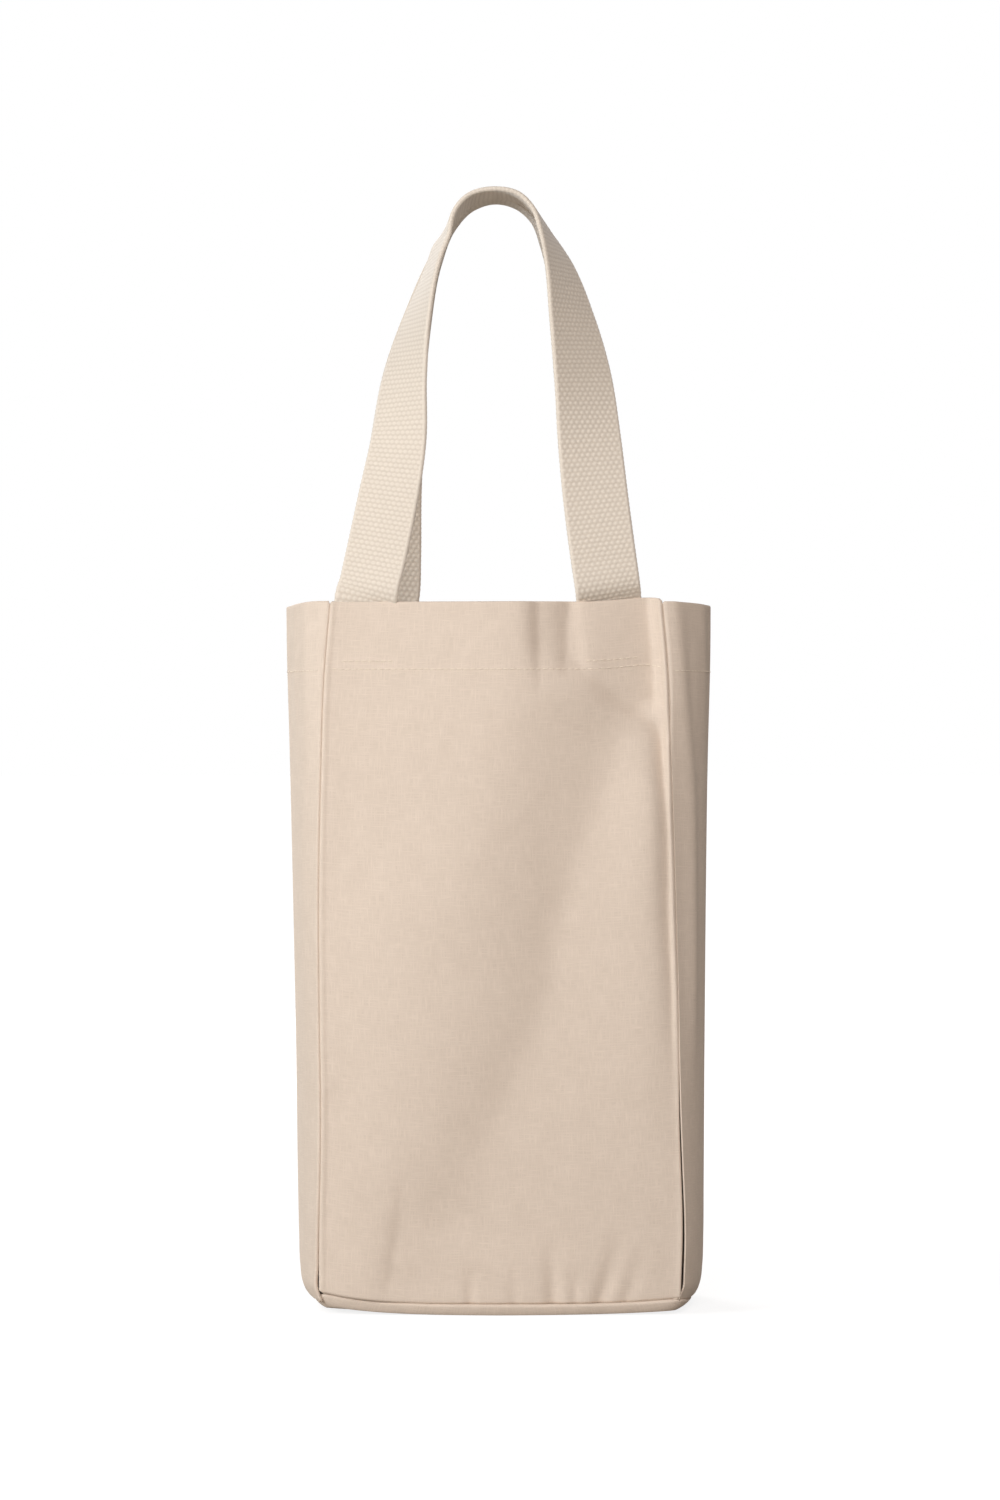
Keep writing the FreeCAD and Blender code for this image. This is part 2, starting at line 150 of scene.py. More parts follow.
def grid_piece(name, points, cut, closed=False, kept=None):
    """Mesh object from a rows by columns grid of points in mm, with its flat cut as the UV map in metres."""
    rows, columns = points.shape[:2]
    index = np.arange(rows * columns).reshape(rows, columns)
    if closed:
        index = np.concatenate([index, index[:, :1]], axis=1)
    quads = quads_of(index)
    quads = quads.reshape(-1, 4) if kept is None else quads[kept]
    used, quads = np.unique(quads, return_inverse=True)
    return mesh_piece(name, points.reshape(-1, 3)[used], quads.reshape(-1, 4), cut.reshape(-1, 2)[used])


def mesh_piece(name, points, faces, cut):
    """Mesh object from points in mm and faces that all have the same number of corners."""
    mesh = bpy.data.meshes.new(name)
    corners = faces.shape[1]
    mesh.vertices.add(len(points))
    mesh.vertices.foreach_set("co", (points * MM).astype(np.float32).ravel())
    mesh.loops.add(faces.size)
    mesh.loops.foreach_set("vertex_index", faces.astype(np.int32).ravel())
    mesh.polygons.add(len(faces))
    mesh.polygons.foreach_set("loop_start", np.arange(0, faces.size, corners, dtype=np.int32))
    uv = mesh.uv_layers.new(name="cut")
    uv.data.foreach_set("uv", (cut[faces.ravel()] * MM).astype(np.float32).ravel())
    mesh.update(calc_edges=True)
    mesh.polygons.foreach_set("use_smooth", np.ones(len(faces), bool))
    piece = bpy.data.objects.new(name, mesh)
    bpy.context.scene.collection.objects.link(piece)
    return piece


def give_thickness(piece, thickness):
    """The sheet keeps its outer face and gets a back, thickness in mm."""
    solid = piece.modifiers.new("cloth", "SOLIDIFY")
    solid.thickness = thickness * MM
    solid.offset = -1
    solid.use_even_offset = False


# %% [markdown]
# ## Seam lines and the bag's plan
# The side seams and the side outlines show in the photo. They could be traced as dense outlines. A few
# places on each are enough for a smooth curve over height, and the panels and gussets share these curves,
# so their edges meet.

# %% Seam lines and side outlines
SIDE_HEIGHTS = [0, 5, 8, 12, 20, 35, 60, 130, 205, 280, 330, 349]
left_side = through(SIDE_HEIGHTS,
                    [89.6, 92.8, 96.2, 98.0, 99.2, 99.8, 100.4, 101.4, 103, 104.8, 106, 106.2])
right_side = through(SIDE_HEIGHTS,
                     [94.5, 97.6, 99.6, 101, 102, 102.5, 102.7, 103.2, 103.9, 105, 106.2, 106.4])
left_seam = through([6, 30, 98, 140, 215, 259, 318, 349], [-88, -88, -87, -87.6, -88, -87.2, -85.2, -82.6])
right_seam = through([6, 39, 98, 125, 155, 185, 215, 245, 274, 318, 349],
                     [89.2, 90.2, 88.6, 88.4, 88, 87.2, 86.4, 85.5, 84.5, 83, 80.4])
seam_depth = through([0, 40, 180, 300, 349], [44.6, 45.4, 44.8, 42.6, 41])
front_bow = through([0, 25, 42, 60, 140, 200, 260, 300, 349], [3.2, 3.0, 1.6, 0.8, 0.4, 0.8, 1.5, 0.8, 0.4])
hem_rise = through([-105, -102, -96, -89, -82, -60, 30, 48, 60, 71, 76, 81, 88, 98, 104],
                   [-0.6, 0.0, 0.8, 1.1, 0.7, 0.6, 0.7, 0.9, 1.8, 2.8, 2.7, 1.4, 0.8, 0.4, 0.0])
print("front width at the hem", round(float(right_seam(HEIGHT) - left_seam(HEIGHT)), 1), "mm")

# %% [markdown]
# ## Folds of the front and the back
# The empty front swells on both sides of a slanting valley, is dented at the hem under the strap and is
# puckered by the bottom seam. Folds like these could be sculpted. As sums of short formulas each one can
# be moved by a single value until it sits where the photo shows it.

# %% Swells of the front
valley_line = through([15, 40, 66, 86, 105, 125, 145, 164, 184, 203, 223, 242, 262, 275, 288, 303, 325],
                      [-50, -35, -18.5, -10, -0.5, 9.5, 19, 24, 26, 31, 38, 47, 54.5, 58, 64, 77, 86])
big_swell = through([8, 25, 40, 60, 80, 120, 180, 240, 280, 320, 349],
                    [1.6, 1.6, 2.0, 3.0, 4.2, 5.8, 8.4, 10.8, 12.8, 15.4, 15.0])
small_swell = through([20, 105, 145, 184, 223, 262, 282, 305], [0, 3.6, 5.0, 6.4, 7.6, 6.6, 3.2, 0])
SKEW = 1.15
CREST = 0.62
CREST_SOFT = 0.55
ROOF_STRETCH = (180, 260)
LOW_POWER = 7
POWER_LOSS = 4
POWER_STRETCH = (235, 275)
VALLEY_SOFT = 3.3


def two_swells(x, z):
    """A big swell from the left seam to the valley and a small one right of it, joined by a soft crease.

    The big one is a skewed parabola low down and a rounded roof high up. The small one is its share of the
    way across, less a power of it. The larger of the two counts, with a rounded corner where they cross.
    """
    big = (x - left_seam(z)) / (valley_line(z) - left_seam(z))
    rising, falling = big / CREST, (1 - big) / (1 - CREST)
    roof = (rising + falling - np.sqrt((rising - falling) ** 2 + CREST_SOFT**2)) / 2
    skewed = np.maximum(big, 0) ** SKEW
    high = fade(z, *ROOF_STRETCH)
    left = big_swell(z) * ((1 - high) * (1 - (2 * skewed - 1) ** 2) + high * roof)
    small = np.clip((x - valley_line(z)) / (right_seam(z) - valley_line(z)), -1, 1)
    power = LOW_POWER - POWER_LOSS * fade(z, *POWER_STRETCH)
    right = small_swell(z) * small * (1 - np.abs(small) ** power)
    return (left + right + np.sqrt((left - right) ** 2 + VALLEY_SOFT**2) - VALLEY_SOFT) / 2


# %% Creases and puckers
PUCKER_SPREAD = 0.7
PUCKER_POWER = 1.5


def crease(x, z, line, depth, left, right, soft):
    """Long crease along a line: deepest on it and rising back over its reach to the left and the right."""
    off = x - line(z)
    gap = np.sqrt(off**2 + soft**2) - soft
    return -depth * np.exp(-gap / np.where(off < 0, left, right))


def pucker(x, z, foot, tip, depth, width):
    """Pucker that starts at a seam: a bell across its line that spreads and fades toward its tip."""
    foot, along = np.array(foot, float), np.subtract(tip, foot)
    length = np.hypot(*along)
    run = ((x - foot[0]) * along[0] + (z - foot[1]) * along[1]) / length**2
    off = ((x - foot[0]) * along[1] - (z - foot[1]) * along[0]) / length
    run = np.clip(run, 0, 1)
    return -depth * (1 - run**2) ** PUCKER_POWER * np.exp(-(off / (width * (1 + PUCKER_SPREAD * run))) ** 2)


# %% Folds of the front
step_line = through([8, 24, 42, 70], [-54, -51.5, -48.5, -46])
STEP_DEPTH = 1.7
STEP_STRETCH = (78, 38)
STEP_FOOT_STRETCH = (0, 24)
trough_line = through([155, 174, 194, 233, 252, 272, 282, 287, 292, 296, 301, 306, 312, 320, 334, 352],
                      [85.4, 84, 82.6, 82, 81, 80.2, 79.8, 78.6, 75, 68.5, 60.5, 54.5, 47.5, 38, 33.5, 35])
trough_depth = through([120, 160, 200, 250, 272, 284, 296, 320, 352],
                       [0, 1.2, 2.0, 2.8, 3.8, 3.9, 2.6, 3.4, 4.8])
trough_reach = through([200, 260, 290, 320], [3.8, 4.8, 7, 13])
trough_rise = through([280, 292, 312], [2.0, 8, 40])
trough_soft = through([280, 296], [1.1, 3.4])
dent_line = through([298, 320, 352], [20.8, 19.6, 18.8])
DENT_DEPTH = 3.2
DENT_STRETCH = (298, 332)
second_line = through([300, 320, 352], [32, 33, 34.6])
SECOND_DEPTH = 1.8
SECOND_STRETCH = (304, 324)

# Rows of (foot, tip, depth, width), with foot and tip as (x, z).
FRONT_PUCKERS = [((27, 4), (25, 40), 1.7, 3.2), ((49, 4), (62, 46), 1.5, 3.4), ((62, 6), (73, 40), 0.9, 3.4),
                 ((-13.5, 4), (-14, 26), 1.2, 2.4), ((8, 4), (7, 26), 0.7, 2.6),
                 ((37.5, 4), (37, 24), 0.9, 2.2)]
STRAP_IMPRINT = 0.5
IMPRINT_EDGE = 36
IMPRINT_LEAN = 0.1
IMPRINT_SOFT = 5.5
IMPRINT_STRETCH = (311, 323)
IMPRINT_FAR_STRETCH = (86, 52)
HEM_SLOPE = 0.13
SLOPE_INSET = 6
SLOPE_SOFT = 2
SLOPE_STRETCH = (290, 304)
WELT_STRETCH = (1.5, 8.0)


def front_folds(x, z):
    """Outward shift of the front cloth: the swells, a step at the lower left, the trough, dents and puckers.

    In the hem the strap's sewn end shows as a raised patch, and right of the patch's edge the cloth slopes
    back evenly until the welt of the right seam.
    """
    shift = two_swells(x, z)
    depth = STEP_DEPTH * fade(z, *STEP_STRETCH) * fade(z, *STEP_FOOT_STRETCH)
    shift = shift + crease(x, z, step_line, depth, left=4.2, right=70, soft=2.2)
    shift = shift + crease(x, z, trough_line, trough_depth(z),
                           left=trough_reach(z), right=trough_rise(z), soft=trough_soft(z))
    depth = DENT_DEPTH * fade(z, *DENT_STRETCH)
    shift = shift + crease(x, z, dent_line, depth, left=3.2, right=40, soft=1.0)
    depth = SECOND_DEPTH * fade(z, *SECOND_STRETCH)
    shift = shift + crease(x, z, second_line, depth, left=4, right=24, soft=1.0)
    for row in FRONT_PUCKERS:
        shift = shift + pucker(x, z, *row)
    inside = x - IMPRINT_EDGE - IMPRINT_LEAN * (HEIGHT - z)
    patch = fade(inside, 0, IMPRINT_SOFT) * fade(x, *IMPRINT_FAR_STRETCH) * fade(z, *IMPRINT_STRETCH)
    past = inside - SLOPE_INSET
    slope = HEM_SLOPE * (past + np.sqrt(past**2 + SLOPE_SOFT**2)) / 2 * fade(z, *SLOPE_STRETCH)
    slope = slope * fade(right_seam(z) - x, *WELT_STRETCH)
    return shift + STRAP_IMPRINT * patch - slope


# %% Folds of the back
back_line = through([15, 120, 220, 340], [52, 26, -6, -46])
BACK_SWELL = 6.5
BACK_HALF = 88
BACK_SWELL_STRETCH = (0, 120)
BACK_WAVE = 1.2
BACK_WAVE_STRETCH = (0, 60)
BACK_CALM_STRETCH = (349, 309)
BACK_CREASE = 2.8
BACK_CREASE_STRETCH = (15, 65)
BACK_CREASE_END_STRETCH = (345, 275)

# Waves of the slack back as (share, mm across per radian, mm of height per radian, first angle).
BACK_WAVES = [(1.0, 31, 63, 0.4), (0.7, 19, -87, 2.1)]
BACK_PUCKERS = [((-22, 353), (-25, 312), 2.2, 3.4), ((-30, 4), (-27, 40), 1.6, 3.4),
                ((18, 4), (15, 34), 1.2, 3.0), ((52, 4), (58, 40), 1.5, 3.6)]


def back_folds(x, z):
    """Slack in the hidden back: long soft waves, one slanting crease, a dent in the hem and puckers below."""
    wave = sum(share * np.sin(x / wide + z / tall + first) for share, wide, tall, first in BACK_WAVES)
    shift = BACK_SWELL * (1 - (x / BACK_HALF) ** 2) * fade(z, *BACK_SWELL_STRETCH)
    shift = shift + BACK_WAVE * wave * fade(z, *BACK_WAVE_STRETCH) * fade(z, *BACK_CALM_STRETCH)
    depth = BACK_CREASE * fade(z, *BACK_CREASE_STRETCH) * fade(z, *BACK_CREASE_END_STRETCH)
    shift = shift + crease(x, z, back_line, depth, left=24, right=9, soft=3.0)
    for row in BACK_PUCKERS:
        shift = shift + pucker(x, z, *row)
    return shift


def seams_of(folds, z):
    """Left and right seam of a panel as seen from its own outside: the back sees them the other way round."""
    if folds is front_folds:
        return left_seam(z), right_seam(z)
    return -right_seam(z), -left_seam(z)


middle_heights = np.linspace(0, HEIGHT, 50)
print("front swells out by", round(float(front_folds(0 * middle_heights, middle_heights).max()), 1), "mm")

# %% [markdown]
# ## Rows and columns of a sewn sheet
# On the real bag every cut edge is turned in and the top is folded into a hem. Flat sheets with a drawn
# line would look like card, so the turnings are built. The rows of a sheet start at its turned foot, roll
# up into the face, fold over at the top and run down inside. The columns do the same at the side seams.

# %% Rows and columns
CANVAS = 0.8
ALLOWANCE = 6.5
SEAM_ROLL = 1.2
HEM_ROLL = 0.95
FOOT_ROLL = 1.6
TURNED_DROP = 1.5
LEAST_FOLD = 0.55
FOOT_CLEAR = 0.2
FINE_WELT = 6
WELT_WIDTH = 15
FAR_FROM_EDGE = 99.0


def sheet_rows(count):
    """Rows of a sheet from foot to hem end: share of the height, added height, and depth behind the face."""
    foot = [(0, FOOT_CLEAR, depth) for depth in np.linspace(ALLOWANCE, FOOT_ROLL, 3, endpoint=False)]
    roll = [(0, FOOT_ROLL * (1 - math.cos(turn)), FOOT_ROLL * (1 - math.sin(turn)))
            for turn in np.linspace(0, math.pi / 2, 5, endpoint=False)]
    face = [(share, (1 - share) * FOOT_ROLL - share * HEM_ROLL, 0)
            for share in np.linspace(0, 1, count, endpoint=False)]
    fold = [(1, HEM_ROLL * (math.sin(turn) - 1), HEM_ROLL * (1 - math.cos(turn)))
            for turn in np.linspace(0, math.pi, 9)]
    hem = [(1, -HEM_ROLL - drop, 2 * HEM_ROLL) for drop in np.linspace(0, FOLD_DEPTH, 22)[1:]]
    return np.array(foot + roll + face + fold + hem)


def panel_columns(count):
    """Columns of a panel: share of the way across, inset from the seam, setback, distance from the edge."""
    turned = [(0, SEAM_ROLL - edge, edge) for edge in np.linspace(-ALLOWANCE, 0, 4, endpoint=False)]
    rolled = [(SEAM_ROLL * (1 - math.cos(turn)), SEAM_ROLL * (1 - math.sin(turn)), SEAM_ROLL * turn)
              for turn in np.linspace(0, math.pi / 2, 7, endpoint=False)]
    quarter = SEAM_ROLL * math.pi / 2
    fine = np.linspace(0, FINE_WELT, 12, endpoint=False)
    runs = np.concatenate([fine, np.linspace(FINE_WELT, WELT_WIDTH, 9)])
    welt = [(SEAM_ROLL + run, 0, quarter + run) for run in runs]
    edge = np.array(turned + rolled + welt)
    across = np.linspace(0, 1, count + 2)[1:-1]
    inset, distance = np.full(count, edge[-1, 0]), np.full(count, FAR_FROM_EDGE)
    middle = np.column_stack([across, inset, np.zeros(count), distance])
    left = np.column_stack([np.zeros(len(edge)), edge])
    right = np.column_stack([np.ones(len(edge)), edge])[::-1]
    return np.concatenate([left, middle, right])


def sewn_sheet(rows, plan, seam_z, rise, turned=1.0):
    """Points of a sheet between its foot seam and its hem line: the plan at each row's height, moved in.

    The move is the row's depth along the plan's normal. Where turned is below 1, as in a hairpin turn, the
    depth and the top shrink with it, but the hem keeps a least part of its depth to stay behind the face.
    """
    share, lift, depth = (rows[:, number, None] for number in range(3))
    depth = depth * np.where(share == 1, np.maximum(turned, LEAST_FOLD), turned)
    top_z = HEIGHT + rise(plan(np.full((1, 1), HEIGHT))[0]) - TURNED_DROP * (1 - turned)
    z = (1 - share) * seam_z + share * top_z + lift
    x, y = plan(z)
    run_x, run_y = np.gradient(x, axis=1), np.gradient(y, axis=1)
    length = np.hypot(run_x, run_y) + 1e-9
    x = x - depth * run_y / length
    y = y + depth * run_x / length
    return np.stack([x, y, z], axis=-1)


def flat_cut(points):
    """Flat place of every point of a sheet: its distance along the middle row and the middle column."""
    rows, columns = points.shape[:2]
    across = run_along(points[rows // 2])
    along = run_along(points[:, columns // 2])
    return np.stack(np.broadcast_arrays(across[None, :], along[:, None]), axis=-1)


def sheet_piece(name, points):
    """Canvas piece from a sheet's points, with its flat cut and its thickness."""
    piece = grid_piece(name, points, flat_cut(points))
    give_thickness(piece, CANVAS)
    print(name, "grid", points.shape[:2])
    return piece


# %% [markdown]
# ## Front and back panels
# Each panel is one sheet, and a welt stands up beside its side seams, where the turned edges lie under the
# cloth. A welt could be a bead of its own, but as a ridge in the sheet it shades softly like cloth.

# %% Panels
SEAM_FOOT = 5.4
LEFT_SEAM_LIFT = 5.8
RIGHT_SEAM_LIFT = 2.6
LIFT_POWER = 3.6
CALM_POWER = 40
WELT_PLACE = 2.3
WELT_HALF = 1.3
LEFT_WELT = 0.35
RIGHT_WELT = 1.2
RIGHT_WELT_STRETCH = (100, 190)
EDGE_FALL = 1.1
FALL_REACH = 2.2
FALL_STRETCH = (130, 70)
LOW_HEIGHT = 10


def panel_face(x, z, folds):
    """Distance of the panel's face from the middle plane: seam depth, bow and folds, calm at the seams."""
    left, right = seams_of(folds, z)
    across = np.clip((2 * x - left - right) / (right - left), -1, 1)
    calm = 1 - np.abs(across) ** CALM_POWER
    return seam_depth(z) + front_bow(z) * (1 - across**2) + calm * folds(x, z)


def panel_plan(columns, folds, facing):
    """Plan of a panel at any height: its face with a welt along both seams, facing 1 for the front."""
    across, inset, setback, edge = (columns[None, :, number] for number in range(4))
    ridge = np.exp(-((edge - WELT_PLACE) / WELT_HALF) ** 2)
    near_edge = np.exp(-np.maximum(edge, 0) / FALL_REACH)

    def plan(z):
        left, right = seams_of(folds, z)
        x = (1 - across) * (left + inset) + across * (right - inset)
        raised = np.where(across > 0.5, RIGHT_WELT * fade(z, *RIGHT_WELT_STRETCH), LEFT_WELT)
        fall = np.where(across > 0.5, EDGE_FALL * fade(z, *FALL_STRETCH), 0) * near_edge
        out = panel_face(x, z, folds) + raised * ridge - setback - fall
        return facing * x, -facing * out

    return plan


def foot_line(across, x):
    """Height of the bottom seam, lifted toward the corners by the lift of the side that x is on."""
    lift = np.where(x < 0, LEFT_SEAM_LIFT, RIGHT_SEAM_LIFT)
    return SEAM_FOOT + lift * np.abs(across) ** LIFT_POWER


def panel(name, folds, facing, fine):
    """One panel: its plan between the bottom seam and the hem line, on a grid of the given fineness."""
    columns = panel_columns(fine)
    left, right = seams_of(folds, LOW_HEIGHT)
    low_x = (1 - columns[:, 0]) * (left + columns[:, 1]) + columns[:, 0] * (right - columns[:, 1])
    low = (2 * low_x - left - right) / (right - left)
    seam_z = foot_line(low, facing * low)[None, :]
    plan = panel_plan(columns, folds, facing)
    return sheet_piece(name, sewn_sheet(sheet_rows(2 * fine), plan, seam_z, lambda x: hem_rise(facing * x)))


cloth = {"front_panel": panel("front_panel", front_folds, 1, 100),
         "back_panel": panel("back_panel", back_folds, -1, 70)}

# %% [markdown]
# ## Side gussets
# A gusset is the slack side piece between the two panels. It could be a plain strip, but its edges turn
# back into the seams, so in plan it is a hairpin turn beside each seam with one round arc between the
# turns. A soft shoulder in the arc gives the fold that the photo shows beside the right seam.

# %% Gussets
NOSE = 0.95
RIGHT_NOSE = 0.5
NOSE_OVERLAP = 0.2
NOSE_BACK = 1.45
FOOT_BACK = 1.25
FOOT_BACK_STRETCH = (32, 16)
FOOT_IN = 2.4
FOOT_IN_STRETCH = (15, 6)
ARC_START = 0.8
GUSSET_LIFT = 1.2
RIGHT_SHOULDER = 2.2
LEFT_SHOULDER = 0.5
SHOULDER_PLACE = 0.73
SHOULDER_DRIFT = 0.12
SHOULDER_WIDTH = 0.13
SHOULDER_STRETCH = (90, 180)
HEM_SLACK = 0.2
HEM_SLACK_STRETCH = (240, 320)
RIPPLE = 0.35
RIPPLE_STRETCH = (250, 330)
RIPPLE_EDGE_STRETCH = (0.95, 0.8)
WIDE_RIPPLE = 11
FINE_RIPPLE = 23
RIPPLE_LEAN = 40
LEAST_REACH = 87

# Gaps between gusset and panel low on a seam: rows of (width, height of its start, height where full).
RIGHT_GROOVE = [(0.8, 140, 80), (0.4, 75, 25)]
LEFT_GROOVE = [(0.32, 70, 20), (0.64, 26, 14)]


def gusset_columns(count):
    """Columns of a gusset as (end, turned length, share of the hairpin, share of the arc)."""
    back = [(1, run, 0, 0) for run in np.linspace(ALLOWANCE, 0, 4, endpoint=False)]
    turn = [(1, 0, share, 0) for share in np.linspace(0, 1, 8, endpoint=False)]
    arc = [(0, 0, 0, share) for share in np.linspace(-1, 1, count)]
    front = [(-1, *row[1:]) for row in back + turn]
    return np.array(front + arc + [row for row in reversed(back + turn)])


def gusset_slack(arc, z, shoulder):
    """How far the arc stands out: a bell-shaped shoulder that grows upward, and small ripples in the hem."""
    high = fade(z, *HEM_SLACK_STRETCH)
    place = SHOULDER_PLACE + SHOULDER_DRIFT * high
    bell = np.exp(-((np.abs(arc) - place) / SHOULDER_WIDTH) ** 2)
    slack = shoulder * bell * (fade(z, *SHOULDER_STRETCH) + HEM_SLACK * high)
    wave = np.sin(WIDE_RIPPLE * arc + 0.6) + 0.5 * np.sin(FINE_RIPPLE * arc + 2 + z / RIPPLE_LEAN)
    return slack + RIPPLE * wave * fade(z, *RIPPLE_STRETCH) * fade(np.abs(arc), *RIPPLE_EDGE_STRETCH)


def gusset_plan(columns, seam, side, facing):
    """Plan of one gusset: hairpins of nose size at the seams, and the arc through them and the side outline.

    Facing is 1 for the right one, and -1 mirrors it to the left.
    """
    shoulder = RIGHT_SHOULDER if facing > 0 else LEFT_SHOULDER
    nose = RIGHT_NOSE if facing > 0 else NOSE
    grooves = RIGHT_GROOVE if facing > 0 else LEFT_GROOVE
    end, turned, hairpin, arc = (columns[None, :, number] for number in range(4))

    def plan(z):
        groove = sum(width * fade(z, start, full) for width, start, full in grooves)
        nose_x = facing * seam(z) + nose - NOSE_OVERLAP + groove - FOOT_IN * fade(z, *FOOT_IN_STRETCH)
        nose_y = seam_depth(z) - NOSE_BACK - FOOT_BACK * fade(z, *FOOT_BACK_STRETCH)
        spread = 2 * np.arctan((side(z) - nose_x - ARC_START * nose) / (nose_y + NOSE))
        turn = hairpin * (math.pi - spread)
        hair_x = nose_x - nose * np.cos(turn)
        hair_y = end * (nose_y - turned + NOSE * np.sin(turn))
        start_x = nose_x + nose * np.cos(spread)
        radius = (nose_y + NOSE * np.sin(spread)) / np.sin(spread)
        arc_x = start_x + radius * (np.cos(arc * spread) - np.cos(spread))
        arc_y = radius * np.sin(arc * spread)
        slack = gusset_slack(arc, z, shoulder)
        x = np.where(end == 0, arc_x + slack * np.cos(arc * spread), hair_x)
        y = np.where(end == 0, arc_y + slack * np.sin(arc * spread), hair_y)
        return facing * x, facing * y

    return plan


def gusset(name, seam, side, facing):
    """One gusset between the base seam and the hem line: its hairpins turn in less than its arc."""
    columns = gusset_columns(64)
    across = np.where(columns[:, 0] == 0, columns[:, 3], columns[:, 0])
    foot = SEAM_FOOT + GUSSET_LIFT * np.abs(across) ** LIFT_POWER
    turned = np.where(columns[:, 0] == 0, 1, columns[:, 2])
    points = sewn_sheet(sheet_rows(190), gusset_plan(columns, seam, side, facing), foot[None, :],
                        lambda x: hem_rise(facing * np.maximum(np.abs(x), LEAST_REACH)), turned[None, :])
    return sheet_piece(name, points)


cloth["left_gusset"] = gusset("left_gusset", left_seam, left_side, -1)
cloth["right_gusset"] = gusset("right_gusset", right_seam, right_side, 1)

# %% [markdown]
# ## Base
# The base is one piece of canvas that rounds up from the floor to the bottom seam. A rounded box would
# have to be cut and merged at the seam. Rings of points run from the middle of the floor outward, round
# the foot and up to the seam and then turn in, so the piece is one sheet.

# %% Base
BASE_HALF = (89.0, 43.9)
BASE_MIDDLE = 1.2
BASE_POWER = 28
LEFT_BOW = 3.8
RIGHT_BOW = 6.2
FRONT_BOW = 3.3
BOW_POWER = 6
SIDE_TUCK = 4.5
FRONT_TUCK = 1.7
LEFT_LIFT = 3.2
RIGHT_LIFT = 1.0
CORNER_POWER = 4
SIDE_LIFT = 0.9
SIDE_POWER = 1.4
ROUND_SHARE = 0.35
SEAM_CLEAR = 0.1
LIP_DROP = 1.1
DISH_POWER = 6
FIRST_SHARE = 0.002
LAST_SHARE = 0.97
FLOOR_RINGS = 24
WALL_RINGS = 9
WAY_RING = 8

# Rings of the turned lip as (inset, drop below the seam).
LIP = [(0.15, 0.6), (0.5, 0.25), (1.1, 0), (3.5, 0), (ALLOWANCE, 0)]


def base_loop(count):
    """Outline of the base seen from above: a squared oval whose sides bow outward, and the corner shares."""
    turn = np.linspace(0, 2 * math.pi, count, endpoint=False)
    cos, sin = np.cos(turn), np.sin(turn)
    size = (np.abs(cos) ** BASE_POWER + np.abs(sin) ** BASE_POWER) ** (1 / BASE_POWER)
    x, y = cos / size, sin / size
    side_bow = np.where(x < 0, LEFT_BOW, RIGHT_BOW)
    plan_x = BASE_MIDDLE + BASE_HALF[0] * x + side_bow * np.sign(x) * np.abs(x) ** BOW_POWER * (1 - y**2)
    plan_y = BASE_HALF[1] * y + FRONT_BOW * np.sign(y) * np.abs(y) ** BOW_POWER * (1 - x**2)
    return np.stack([plan_x, plan_y], axis=-1), np.abs(x * y)


loop, corner = base_loop(480)
outward = (loop - [BASE_MIDDLE, 0]) / BASE_HALF
tuck = np.array([SIDE_TUCK, FRONT_TUCK])
seam_z = foot_line(corner, loop[:, 0]) + SEAM_CLEAR
floor_z = np.where(loop[:, 0] < 0, LEFT_LIFT, RIGHT_LIFT) * corner**CORNER_POWER
floor_z = floor_z + SIDE_LIFT * np.abs(loop[:, 0] / BASE_HALF[0]) ** SIDE_POWER
rings = []
for share in np.linspace(FIRST_SHARE, LAST_SHARE, FLOOR_RINGS):
    rings.append(np.column_stack([(loop - outward * tuck) * share, floor_z * share**DISH_POWER]))
lip_z = seam_z - LIP_DROP
for turn in np.linspace(0, math.pi / 2, WALL_RINGS):
    slant = (1 - ROUND_SHARE) * (1 - turn / (math.pi / 2))
    ring = loop - outward * tuck * (ROUND_SHARE * (1 - math.sin(turn)) + slant)
    rings.append(np.column_stack([ring, lip_z + (floor_z - lip_z) * (ROUND_SHARE * math.cos(turn) + slant)]))
for inset, drop in LIP:
    rings.append(np.column_stack([loop - outward * inset, seam_z - drop]))
rings = np.array(rings)
run_out = np.cumsum(np.linalg.norm(np.diff(rings, axis=0, prepend=rings[:1]), axis=2), axis=0)
way = rings[WAY_RING, :, :2] / np.linalg.norm(rings[WAY_RING, :, :2], axis=1)[:, None]
cloth["base_panel"] = grid_piece("base_panel", rings, run_out[..., None] * way[None], closed=True)
give_thickness(cloth["base_panel"], CANVAS)
print("base rings", rings.shape[:2])

# %% [markdown]
# ## Divider
# The inner wall keeps the two bottles apart. It is hidden in the photo, so a plain way of sewing was
# chosen: two leaves of canvas back to back, each ending in two tabs that lie flat on the hem. Below the
# tabs the edges of the leaves hang free.

# %% Divider
DIVIDER_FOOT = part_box("divider")[0].z / MM
DIVIDER_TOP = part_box("divider")[1].z / MM
TAB_WIDTH = 14.0
TAB_HEIGHT = 27.0
TAB_BEND = 1.6
TAB_GAP = 0.35
FREE_GAP = 3.0
FREE_RUN = 20
DIVIDER_BOW = 2.2
BOW_HEIGHT = 260
BOW_DEPTH = 26
BOW_RUN = 60


def behind_hem(x, z, folds, gap):
    """Distance from the middle plane of a place that lies gap mm behind the inside of the hem."""
    return panel_face(x, z, folds) - 2 * HEM_ROLL - CANVAS - gap


